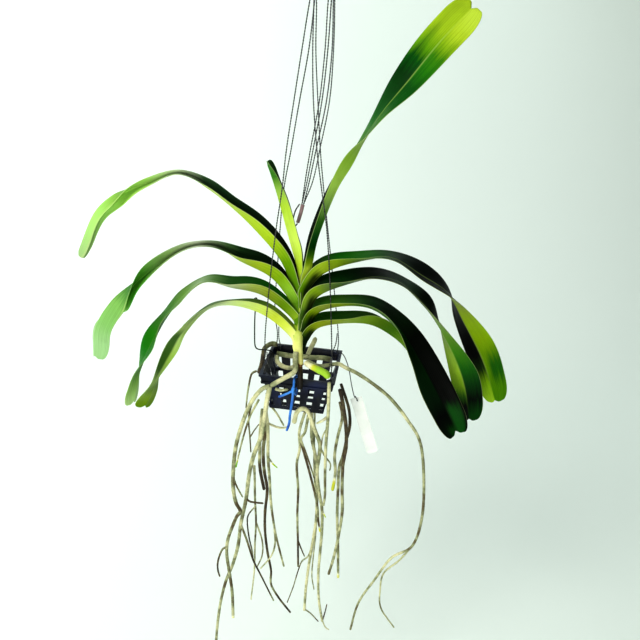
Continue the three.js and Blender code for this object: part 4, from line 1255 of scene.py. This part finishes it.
ROOTS = (
    Root("aerial_root_left_main", (
        Stalk(3.6, 3.2, (
            (-8, -38, 33), (-8, -45, 24), (-8, -55, 14), (-22, -60, 5), (-38, -62, -6)),
            (0.4, 0.45, 0.4, 0.35, 0.3)),
        Stalk(2.9, 2.2, (
            (-38, -62, -6), (-48, -62, -11), (-60, -62, -29), (-70, -62, -56), (-80, -60, -98),
            (-84, -58, -142), (-84, -56, -175), (-80, -55, -199), (-74, -54, -214), (-80, -53, -227),
            (-91, -52, -265), (-93, -53, -292), (-89, -55, -324), (-84, -56, -364), (-82, -56, -417)),
            (0.2, 0.3, 0.4, 0.5, 0.6, 0.55, 0.7, 0.6, 0.5, 0.45, 0.7, 0.5),
            live=0.35, live_reach=9.0),
        Stalk(1.6, 1.2, (
            (-93, -53, -281), (-100, -52, -288), (-106, -50, -310), (-107, -48, -329), (-104, -47, -345)),
            (0.6, 0.8, 0.7)),
        Stalk(3.2, 2.0, (
            (-38, -62, -6), (-41, -60, -27), (-44, -58, -56), (-48, -56, -87), (-57, -54, -118),
            (-63, -52, -153), (-67, -50, -197), (-74, -47, -243), (-78, -42, -286), (-86, -38, -327),
            (-96, -36, -361), (-104, -36, -403), (-109, -37, -449), (-112, -38, -498)),
            (0.15, 0.2, 0.3, 0.4, 0.4, 0.5, 0.45, 0.5, 0.5, 0.45, 0.5)),
        Stalk(1.7, 1.1, (
            (-74, -47, -243), (-64, -51, -269), (-54, -54, -301), (-43, -55, -326), (-21, -54, -379)),
            (0.4, 0.9, 0.95, 0.7)),
        Stalk(1.4, 1.0, (
            (-84, -57, -155), (-80, -58, -166), (-76, -59, -174), (-70, -60, -185)),
            (0.5, 0.7)),
        Stalk(1.4, 1.3, (
            (-67, -50, -193), (-62, -53, -196), (-55, -55, -196), (-41, -57, -195)),
            (0.6, 0.95)))),
    Root("aerial_root_left_inner", (
        Stalk(2.4, 1.4, (
            (-44, -52, -43), (-40, -48, -74), (-39, -46, -106), (-38, -46, -130), (-35, -44, -165),
            (-32, -42, -206), (-26, -40, -250), (-20, -40, -279), (-9, -40, -324)),
            (0.15, 0.2, 0.4, 0.45, 0.5, 0.5)),
        Stalk(1.6, 1.0, (
            (-26, -40, -250), (-24, -38, -281), (-29, -36, -308), (-45, -34, -337)),
            (0.45, 0.4, 0.2)),
        Stalk(1.3, 0.8, ((-38, -46, -126), (-31, -50, -133), (-24, -52, -138)), (0.5, 0.5), live=0.8))),
    Root("aerial_root_left_dark", (
        Stalk(2.6, 1.4, (
            (-46, -34, -60), (-44, -36, -87), (-46, -37, -120), (-44, -35, -155), (-39, -32, -191),
            (-41, -30, -232), (-40, -29, -270), (-35, -28, -311), (-29, -28, -344), (-28, -28, -372),
            (-15, -28, -399), (5, -28, -429)),
            (0.5, 0.7, 0.75, 0.8, 0.9, 0.95, 0.95, 0.85, 0.6, 0.8, 0.9)),)),
    Root("aerial_root_left_thin", (
        Stalk(1.8, 1.0, (
            (-57, -45, -142), (-56, -43, -167), (-55, -41, -203), (-53, -38, -245), (-54, -35, -290),
            (-54, -33, -341), (-58, -32, -403)),
            (0.4, 0.5, 0.45, 0.7, 0.4, 0.35, 0.4)),
        Stalk(1.3, 0.9, (
            (-53, -38, -245), (-43, -42, -274), (-42, -43, -301), (-49, -43, -325)),
            (0.6, 0.5)),
        Stalk(1.0, 1.1, (
            (-55, -41, -215), (-64, -42, -230), (-65, -42, -246), (-62, -41, -273), (-58, -40, -294),
            (-56, -39, -312)),
            (0.1, 0.95, 1.0, 0.8, 0.6)))),
    Root("aerial_root_left_tip", (
        Stalk(2.0, 2.3, (
            (-50, -28, -61), (-52, -27, -95), (-52, -25, -129), (-51, -24, -160), (-44, -22, -200)),
            (0.4, 0.3, 0.4, 0.3, 1.0, 1.0)),)),
    Root("aerial_root_left_rootlet", (
        Stalk(1.3, 0.9, ((-62, -36, -41), (-67, -36, -71), (-65, -36, -100), (-63, -36, -127)), (0.7, 0.8)),
        Stalk(1.0, 0.8, ((-65, -36, -103), (-60, -34, -93), (-53, -32, -82)), (0.7, 0.8)))),
    Root("aerial_root_left_pair", (
        Stalk(1.6, 1.0, (
            (-53, -48, -35), (-64, -48, -61), (-72, -48, -92), (-78, -48, -122), (-82, -48, -145)),
            (0.4, 0.5, 0.4), live=0.9, live_reach=18.0),)),
    Root("aerial_root_left_wisp", (
        Stalk(1.5, 1.0, (
            (-58, -36, 1), (-64, -40, -2), (-67, -42, -17), (-69, -43, -35), (-70, -43, -53)),
            (0.7, 0.6)),)),
    Root("aerial_root_centre_brown", (
        Stalk(2.0, 1.5, (
            (8, -30, -60), (2, -28, -93), (4, -27, -120), (1, -26, -149), (5, -25, -193), (6, -24, -239),
            (9, -24, -285), (12, -24, -338)),
            (0.35, 0.3, 0.35, 0.6, 0.7, 0.6, 0.9, 0.8)),
        Stalk(1.2, 0.9, ((9, -24, -285), (15, -22, -304), (21, -20, -321)), (0.8, 0.7)))),
    Root("aerial_root_centre_green", (
        Stalk(2.0, 1.4, (
            (13, -38, -60), (10, -38, -86), (5, -38, -99), (12, -38, -125), (21, -37, -157),
            (29, -36, -188), (35, -34, -216), (37, -33, -238), (41, -32, -261)),
            (0.3, 0.5, 0.8, 0.7, 0.6, 0.8), live=0.5),
        Stalk(1.5, 1.0, ((5, -38, -99), (13, -41, -118), (21, -42, -140), (27, -42, -159)), (0.6, 0.5)))),
    Root("aerial_root_centre_pale", (
        Stalk(3.1, 1.8, (
            (-5, -50, -64), (-2, -55, -46), (6, -56, -39), (14, -56, -46), (22, -53, -70), (31, -50, -96),
            (31, -48, -120), (30, -47, -144), (35, -46, -178), (41, -46, -209), (43, -45, -245),
            (43, -44, -283), (43, -43, -332), (47, -43, -382), (55, -43, -427)),
            (0.1, 0.1, 0.2, 0.3, 0.35, 0.4, 0.4, 0.35, 0.4, 0.35, 0.4)),
        Stalk(1.1, 0.8, ((55, -43, -424), (58, -41, -408), (60, -40, -392)), (0.95, 0.95)),
        Stalk(1.1, 0.8, (
            (41, -46, -209), (44, -48, -214), (47, -49, -220)),
            (0.4,), live=0.7, live_reach=10.0),
        Stalk(1.3, 0.9, ((31, -50, -100), (39, -54, -112), (47, -55, -123), (47, -55, -135)), (0.5, 0.7)),
        Stalk(1.1, 0.8, ((55, -43, -424), (60, -43, -437), (67, -43, -443)), (0.3, 0.3)))),
    Root("aerial_root_centre_cream", (
        Stalk(2.4, 2.0, (
            (17, -28, -60), (20, -28, -102), (27, -28, -134), (31, -28, -171), (33, -28, -206),
            (34, -27, -243), (31, -26, -291), (28, -25, -331), (26, -24, -379), (26, -24, -427)),
            (0.3, 0.5, 0.5, 0.4, 0.3, 0.3, 0.3)),
        Stalk(1.2, 0.8, (
            (31, -26, -291), (26, -24, -315), (17, -18, -332), (12, -16, -354), (6, -18, -385),
            (-2, -20, -417)),
            (0.4, 0.7, 0.6)),
        Stalk(1.2, 0.8, ((26, -24, -423), (37, -26, -430), (50, -30, -442)), (0.7, 0.8)))),
    Root("aerial_root_centre_slim", (
        Stalk(1.3, 0.9, (
            (21, -16, -60), (26, -16, -163), (32, -16, -216), (35, -16, -271), (34, -15, -323),
            (34, -14, -362), (39, -14, -392)),
            (0.5, 0.6, 0.4, 0.5)),)),
    Root("aerial_root_under_tip", (
        Stalk(2.4, 1.6, (
            (37, -63, 5), (38, -63, -20), (39, -62, -50), (39, -60, -90), (41, -58, -140), (43, -57, -174),
            (42, -56, -194)),
            (0.3, 0.4, 0.4, 0.5, 0.4)),
        Stalk(1.1, 0.9, ((39, -62, -62), (34, -62, -75), (33, -62, -91)), (0.5, 0.5)))),
    Root("aerial_root_right_yellow", (
        Stalk(1.9, 2.2, (
            (54, -32, -40), (59, -30, -64), (55, -30, -96), (53, -30, -126), (56, -30, -156),
            (54, -30, -187)),
            (0.6, 0.5, 0.45, 0.4), live=0.55, live_reach=30.0),)),
    Root("aerial_root_right_long", (
        Stalk(2.6, 2.0, (
            (52, -48, -12), (57, -46, -32), (64, -43, -68), (67, -42, -102), (65, -42, -134),
            (67, -42, -175), (70, -42, -213), (68, -42, -255), (64, -43, -294), (58, -44, -330)),
            (0.9, 0.85, 0.9, 0.75, 0.6, 0.5, 0.45, 0.5)),)),
    Root("aerial_root_right_straight", (
        Stalk(2.2, 1.9, (
            (68, -24, -102), (65, -26, -128), (61, -27, -149), (62, -28, -186), (64, -29, -230),
            (69, -30, -284), (74, -31, -348)),
            (0.7, 0.6, 0.5, 0.45), live=0.4),
        Stalk(2.0, 2.2, (
            (54, -20, -19), (61, -18, -38), (68, -16, -60), (71, -17, -83), (68, -24, -102)),
            (0.95, 0.9, 0.8)))),
    Root("aerial_root_arch", (
        Stalk(2.9, 1.6, (
            (7, -24, 14), (22, -20, 6), (38, -12, 5), (49, -8, 5), (59, -10, 1), (76, -14, -5),
            (99, -20, -17), (122, -26, -33), (146, -30, -60), (168, -34, -94), (180, -36, -153),
            (185, -38, -218), (177, -38, -270), (149, -38, -295), (128, -38, -340), (108, -38, -388),
            (100, -38, -446)),
            (0.35, 0.4, 0.4, 0.4, 0.45, 0.4, 0.35, 0.45, 0.6, 0.5, 0.3, 0.45, 0.5)),
        Stalk(1.4, 1.2, (
            (177, -38, -270), (162, -34, -302), (142, -31, -332), (140, -30, -367), (145, -30, -404),
            (170, -30, -444)),
            (0.3, 0.4, 0.5, 0.5)))),
    Root("aerial_root_green_tip", (
        Stalk(3.4, 5.2, (
            (5, -40, 20), (11, -44, 18), (20, -52, 18), (31, -62, 18), (36, -70, 16)),
            (0.1, 0.15), live=0.8, live_reach=44.0, sides=16, spacing=0.8),)),
    Root("aerial_root_stub", (
        Stalk(3.0, 3.2, ((7, -18, 20), (10, -10, 26), (14, -4, 33), (16, 0, 39)), (0.3, 0.25, 0.4)),)),
    Root("aerial_root_back", (
        Stalk(3.8, 3.8, (
            (-38, 37, -8), (-16, 37, -10), (11, 36, -10), (27, 35, -9), (42, 31, -9)),
            (0.4, 0.45)),)),
    Root("aerial_root_loop", (
        Stalk(3.2, 3.0, (
            (-36.5, 23, -6), (-34, 12, -9), (-25, 4, -11), (-15, 2, -11), (-9, 0, -5)),
            (0.3, 0.35)),)),
    Root("aerial_root_over_rim", (
        Stalk(3.6, 3.2, (
            (-38, 38, 6), (-46, 36, 7), (-54, 30, 3), (-55, 18, -3), (-55, 0, -8), (-57, -18, -12)),
            (0.6, 0.8, 0.85)),)),
    Root("aerial_root_under_left", (
        Stalk(1.8, 1.3, (
            (-46, -12, -64), (-44, -14, -88), (-34, -16, -94), (-24, -18, -95), (-14, -20, -92)),
            (0.15, 0.2)),)),
    Root("aerial_root_under_right", (
        Stalk(2.2, 1.4, ((38, -40, -60), (32, -44, -63), (24, -46, -67)), (0.2, 0.3), live=0.3),)),
    Root("aerial_root_front_left", (
        Stalk(2.2, 1.6, ((-31, -57, -12), (-24, -56, -14), (-14, -56, -12)), (0.3, 0.4)),)),
    Root("aerial_root_slot_left", (
        Stalk(1.6, 1.2, (
            (-37, -26, -58), (-33, -28, -62), (-27, -30, -70), (-19, -34, -82)),
            (0.3, 0.3)),)),
)


@dataclass
class Stem(Joined):
    """The short stem between the leaf bases, with its old joints and a sheathed neck round it."""

    slot: Slot = Slot.STEM
    node: str = "stem"


STEM = Stem("stem_core", (
    Stalk(3.8, 2.0, (
        (0, -55, -10), (0, -54, 3), (-1, -46, 11), (-3, -36, 23), (-6, -27, 38), (-6, -19, 69),
        (-6, -15, 102), (-7, -13, 132)), sides=20, spacing=0.8, lumps=0.05),
    Stalk(5.0, 6.0, (
        (-2, -41, 16), (-3.5, -36, 23), (-5, -30, 32), (-6, -25, 44), (-6, -21, 58)),
        sides=24, spacing=0.8, lumps=0.04)))


@dataclass
class Tie(Joined):
    """A soft tie: its loop round the stem in two stretches, its two ends and its knot."""

    slot: Slot = Slot.TIE
    node: str = "blue_tie"


def tie_stretch(start: float, end: float, route: Sequence[Point], lumps: float = 0.06) -> Stalk:
    """Returns one stretch of the tie, with the fineness that all of them have."""
    return Stalk(start, end, route, sides=12, spacing=0.7, lumps=lumps)


TIE = Tie("soft_tie", (
    tie_stretch(1.6, 1.6, (
        (-8, -62, -10), (-7.6, -60.5, -4), (-7.6, -56.5, 2.4), (-7, -50.5, 3.2), (-4.5, -45.5, 2.6),
        (-4, -42, -3), (-4, -40, -12), (-4, -40, -18))),
    tie_stretch(1.6, 1.6, (
        (-4, -40, -17), (-4.2, -43, -22), (-4.6, -49, -22.5), (-5.6, -54.5, -19), (-7.4, -59.5, -13),
        (-8.5, -62, -10))),
    tie_stretch(1.5, 1.6, ((-7.5, -62, -9), (-14, -62, -14), (-27, -62, -21))),
    tie_stretch(1.8, 1.6, (
        (-8.5, -62.5, -9), (-8, -63.5, -16), (-9, -64, -30), (-10.5, -64, -46), (-11, -64, -58),
        (-14, -64, -70)), lumps=0.08),
    Stalk(2.3, 2.6, (
        (-7.4, -61.5, -5.5), (-8.4, -62.2, -8.5), (-8.6, -62, -12)), sides=14, spacing=0.5, lumps=0.12),
))


# The bend at the top as x and z, then a wire's foot and its tail at the corner hole, as how much
# further in than the hole and how high over the rim
TOP_BEND = ((-10.5, 451), (-8.5, 458), (-4.5, 462), (0, 463), (4.5, 462), (8.5, 458), (10.5, 451))
CORNER_FOOT = ((2, -7), (0, -4), (0, 3), (0, 20))
CORNER_TAIL = ((2, -7), (5.5, -6), (6.5, 1), (3, 14), (2.2, 30))


@dataclass
class Strand:
    """A hanger wire: a twisted pair from its corner hole over the top bend and down to the sleeve."""

    corner: str
    sign: tuple[float, float]
    row: float
    rise: Sequence[Point]
    fall: Sequence[Point]
    hole_inset: float = 6.5
    row_spacing: float = 2.1
    wire_radius: float = 0.45
    pair_radius: float = 0.4
    pitch: float = 6.4
    sides: int = 6
    spacing: float = 0.8

    def turned(self, past_hole: float, height: float) -> Point:
        """Finds a place near the basket's corner.

        Args:
            past_hole: how much further in than the corner hole it is.
            height: its height over the rim.

        Returns:
            The place, turned as the basket is.
        """
        reach = RIM_SIDE / 2 - self.hole_inset - past_hole
        place = Vector((self.sign[0] * reach, self.sign[1] * reach, height))
        return tuple(Matrix.Rotation(BASKET_TURN, 3, "Z") @ place)

    def routes(self) -> tuple[list[Point], list[Point]]:
        """Returns the whole wire's route and its twisted-back tail's."""
        bend = [(x, self.row * self.row_spacing, z) for x, z in TOP_BEND]
        foot, tail = ([self.turned(*spot) for spot in spots] for spots in (CORNER_FOOT, CORNER_TAIL))
        return [*foot, *self.rise, *bend, *self.fall], tail

    def wound(self, name: str, route: Sequence[Point]) -> list[bpy.types.Object]:
        """Winds two thin wires round a route.

        Args:
            name: the pair's name.
            route: its middle line.

        Returns:
            The two wires.
        """
        path = SmoothRoute(route)
        crosses = crosses_along(path, path.even_shares(self.spacing))
        reached = lengths_reached([cross.place for cross in crosses])
        wires = []
        for wire in range(2):

            def lay(i: int, j: int, start: float = wire / 2) -> Vector:
                """Returns the place of a point of the wire's skin."""
                cross = crosses[j]
                middle = cross.place + cross.outward(reached[j] / self.pitch + start) * self.pair_radius
                return middle + cross.outward(i % self.sides / self.sides) * self.wire_radius

            strand = Bench.woven(f"{name}_{wire}", self.sides, len(crosses) - 1, lay)
            Bench.close(strand)
            wires.append(strand)
        return wires

    def build(self) -> bpy.types.Object:
        """Winds the wire and its tail.

        Returns:
            The strand.
        """
        whole, tail = self.routes()
        name = f"twisted_wire_{self.corner}"
        return Bench.join(name, [*self.wound(name, whole), *self.wound(f"{name}_tail", tail)])

    def dress(self, material: bpy.types.Material) -> None:
        """Builds the strand and hands it in with its finish."""
        Bench.hand_in(self.build(), material, Slot.STEEL, f"hanger_strand_{self.corner}")


STRANDS = (
    Strand("front_left", (-1, -1), -1.5, (
        (-48, -38, 60), (-45, -35, 121), (-40, -28, 189), (-35, -23, 237), (-32, -18, 283), (-26, -13, 338),
        (-20, -8, 391), (-14, -4, 441)),
        ((6, -2.8, 443), (5.5, -1.5, 392), (2.5, 1, 338), (-5, 5, 281), (-9.2, 8, 244), (-11.9, 9.6, 214))),
    Strand("front_right", (1, -1), -0.5, (
        (36, -42, 60), (29, -34, 131), (21, -30, 194), (12, -26, 240), (3.5, -20, 285), (-4, -13, 339),
        (-8, -6, 391), (-9.7, -1.5, 441)),
        ((9.3, -1, 443), (8.6, 0.5, 392), (5.4, 3, 338), (-1.9, 7, 281), (-6.8, 10, 244),
         (-11.9, 11.8, 214))),
    Strand("back_left", (-1, 1), 0.5, (
        (-43, 39, 60), (-41, 33, 128), (-37, 25, 219), (-29, 19, 277), (-21, 13, 336), (-13, 6, 391),
        (-9.2, 1.5, 441)),
        ((11.3, 1.1, 443), (13.3, 2.5, 392), (10.6, 5, 338), (1.7, 7, 281), (-4.1, 8.5, 244),
         (-9.7, 9.6, 214))),
    Strand("back_right", (1, 1), 1.5, (
        (42, 38, 60), (27, 31, 151), (14, 24, 230), (6.7, 19, 280), (0.3, 14, 338), (-5, 9, 391),
        (-7.1, 3.8, 441)),
        ((12.8, 3.2, 443), (15, 4.8, 392), (14.1, 8, 338), (6.1, 10, 281), (0.1, 11, 244),
         (-9.7, 11.8, 214))),
)


@dataclass
class Wire(Joined):
    """A short wire, hook or sleeve of one stretch."""


SLEEVE = Wire("pink_sleeve", (
    Stalk(2.5, 2.3, (
        (-10.9, 10.7, 213), (-13, 11, 202), (-16, 11, 190)),
        sides=20, spacing=0.7, lumps=0.05, rounded=False),
), Slot.SLEEVE, "hanger_sleeve")
HOOK = Wire("small_hook", (
    Stalk(0.9, 0.9, (
        (-16.3, 11, 188.8), (-19, 11, 186), (-22, 11, 192), (-20, 11, 204), (-16.5, 11, 211),
        (-14.6, 11, 214)), spacing=0.6, lumps=0.0),
), Slot.STEEL, "hanger_hook")
HOOK_WIRE = Wire("rim_wire", (
    Stalk(0.9, 0.9, (
        (-70, 20, 76), (-69, 20, 80), (-66, 20, 79), (-68, 20, 59), (-68, 20, 30), (-67, 20, 11),
        (-63, 21, 5), (-55, 22, 4), (-46, 22, 3.2), (-42, 22, -1), (-41, 22, -8)), spacing=0.7, lumps=0.0),
), Slot.BLACK_WIRE, "hook_wire")
TAG_WIRE = Wire("tag_hanger", (
    Stalk(0.6, 0.6, (
        (45.5, 27, -7), (46.4, 28, 0), (50.5, 29, 3.5), (55.5, 30, 1), (61, 30, -9), (66, 26, -22),
        (70, 20, -38), (75, 14, -54), (79.7, 10, -59.7), (80, 6, -57), (76, 6, -50)), spacing=0.7, lumps=0.0),
), Slot.BLACK_WIRE, "tag_wire")


@dataclass
class Moulding:
    """A hard piece, the basket or the tag, its edges rounded as moulded plastic is."""

    name: str
    bevel: float
    slot: Slot
    node: str

    def dress(self, nodes: dict[str, bpy.types.Object], material: bpy.types.Material) -> None:
        """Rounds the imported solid's edges and hands the piece in with its finish.

        Args:
            nodes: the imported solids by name.
            material: the finish.
        """
        piece = Bench.worn_copy(nodes[self.node], self.name, self.bevel)
        Bench.hand_in(piece, material, self.slot, self.node)


BASKET = Moulding("basket_moulding", 0.45, Slot.BASKET, "basket")
TAG = Moulding("blank_tag", 0.15, Slot.TAG, "tag")

STEEL = PlainFinish("3A3A3C", "6E6E72", 0.38, metallic=1.0, grain=1500.0)
BLACK_WIRE = PlainFinish("0A0A0E", "16161C", 0.45, sheen=0.3)
PINK_RUBBER = PlainFinish("A58A8C", "7C6064", 0.55)
NAVY_PLASTIC = PlainFinish("080B1A", "131C40", 0.34, grain=300.0, sheen=0.25)
TAG_PLASTIC = PlainFinish("FFFFFF", "F6F8F6", 0.4, alpha=0.6)
BLUE_PLASTIC = PlainFinish("3A86D8", "1848A0", 0.35, sheen=0.3)


@dataclass(frozen=True)
class Lamp:
    """A square soft light, with its places and its side in metres and its power in watts."""

    name: str
    place: Point
    aim: Point
    size: float
    power: float
    colour: str

    def hang(self) -> None:
        """Adds the light."""
        data = bpy.data.lights.new(self.name, "AREA")
        data.size = self.size
        data.energy = self.power
        data.color = tint(self.colour)[:3]
        lamp = bpy.data.objects.new(self.name, data)
        bpy.context.collection.objects.link(lamp)
        heading = Vector(self.aim) - Vector(self.place)
        lamp.location = self.place
        lamp.rotation_euler = heading.to_track_quat("-Z", "Y").to_euler()
        lamp.visible_camera = False


@dataclass(frozen=True)
class Sweep:
    """A pale floor that curves up into a wall behind the plant. Sizes are in metres."""

    floor: float = -1.08
    wall: float = 2.5
    radius: float = 1.4
    front: float = -4.0
    length: float = 12.0
    width: float = 14.0
    rows: int = 60
    colour: str = "E6EEEA"
    roughness: float = 0.9

    def profile(self, along: float) -> tuple[float, float]:
        """Finds a place on the sweep's side view.

        Args:
            along: how far back it would lie if the sweep were flat.

        Returns:
            How far back it is and its height.
        """
        past_bend = along - self.wall + self.radius
        bend_length = self.radius * math.pi / 2
        if past_bend < 0.0:
            return along, self.floor
        if past_bend < bend_length:
            turn = past_bend / self.radius
            back = self.wall - self.radius + self.radius * math.sin(turn)
            return back, self.floor + self.radius * (1.0 - math.cos(turn))
        return self.wall, self.floor + self.radius + past_bend - bend_length

    def lay(self) -> None:
        """Lays and paints the sweep."""
        Bench.clear()
        bpy.ops.mesh.primitive_grid_add(x_subdivisions=2, y_subdivisions=self.rows, size=1.0)
        sweep = bpy.context.object
        sweep.name = "pale_sweep"
        for vertex in sweep.data.vertices:
            across = vertex.co.x * self.width
            vertex.co = (across, *self.profile((vertex.co.y + 0.5) * self.length + self.front))
        Bench.pick(sweep)
        bpy.ops.object.shade_smooth()
        dye = Dye("pale_sweep_paint")
        sweep.data.materials.append(dye.paint(Base_Color=tint(self.colour), Roughness=self.roughness))


@dataclass(frozen=True)
class View:
    """The camera at the photograph's angle, its place in millimetres from the rim."""

    place: Point = (20.1, -785.1, 398.3)
    pitch: float = 23.08
    roll: float = 3.83
    focal_pixels: float = 647.0
    frame_pixels: float = 640.0
    sensor: float = 36.0
    nearest: float = 0.05

    def raise_camera(self) -> None:
        """Adds the camera."""
        pitch, roll = math.radians(self.pitch), math.radians(self.roll)
        forward = Vector((0.0, math.cos(pitch), -math.sin(pitch)))
        level = Vector((1.0, 0.0, 0.0))
        above = level.cross(forward)
        right = level * math.cos(roll) + above * math.sin(roll)
        above = above * math.cos(roll) - level * math.sin(roll)
        data = bpy.data.cameras.new("view_camera")
        data.sensor_width = self.sensor
        data.lens = self.sensor * self.focal_pixels / self.frame_pixels
        data.clip_start = self.nearest
        camera = bpy.data.objects.new("view_camera", data)
        bpy.context.collection.objects.link(camera)
        turn = Matrix((right, above, -forward)).transposed().to_4x4()
        camera.matrix_world = Matrix.Translation(to_row(Vector(self.place))) @ turn
        bpy.context.scene.camera = camera


@dataclass(frozen=True)
class Studio:
    """The stage: the camera, the sweep, the lights and the soft light of the room."""

    view: View = View()
    sweep: Sweep = Sweep()
    lamps: tuple[Lamp, ...] = (
        Lamp("key", (-1.5, -1.5, 1.5), (0.0, 0.0, -0.4), 1.2, 62.0, "FFFDF6"),
        Lamp("fill", (-0.2, -1.9, -0.6), (0.0, 0.0, -0.3), 0.8, 20.0, "FFFFF6"),
        Lamp("wash", (-2.5, 0.7, 0.5), (-1.0, 2.5, -0.4), 2.2, 60.0, "FFFFFF"),
        Lamp("rear", (0.9, 1.9, 1.2), (0.0, 0.0, -0.4), 1.2, 10.0, "F4FAFF"),
    )
    room_colour: str = "EAF6EE"
    room_strength: float = 0.34
    view_gamma: float = 0.86

    def set_up(self) -> None:
        """Builds the stage."""
        self.view.raise_camera()
        self.sweep.lay()
        for lamp in self.lamps:
            lamp.hang()
        world = bpy.data.worlds.new("soft_room")
        world.use_nodes = True
        shade = world.node_tree.nodes["Background"]
        shade.inputs["Color"].default_value = tint(self.room_colour)
        shade.inputs["Strength"].default_value = self.room_strength
        bpy.context.scene.world = world
        bpy.context.scene.view_settings.view_transform = "Standard"
        bpy.context.scene.view_settings.gamma = self.view_gamma


def main() -> None:
    """Builds the orchid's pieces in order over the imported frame."""
    logging.basicConfig(level=logging.INFO, format="%(message)s")
    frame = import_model()
    Studio().set_up()
    for leaf in LEAVES:
        leaf.dress()
    root_skin = RootFinish().make("root_skin")
    for root in ROOTS:
        root.dress(root_skin)
    STEM.dress(StemFinish().make("stem_skin"))
    BASKET.dress(frame["nodes"], NAVY_PLASTIC.make("navy_plastic"))
    steel = STEEL.make("twisted_steel")
    for strand in STRANDS:
        strand.dress(steel)
    black = BLACK_WIRE.make("black_wire_coat")
    SLEEVE.dress(PINK_RUBBER.make("pink_rubber"))
    HOOK.dress(steel)
    HOOK_WIRE.dress(black)
    TAG_WIRE.dress(black)
    TIE.dress(BLUE_PLASTIC.make("blue_plastic"))
    TAG.dress(frame["nodes"], TAG_PLASTIC.make("tag_sheet"))


if __name__ == "__main__":
    main()
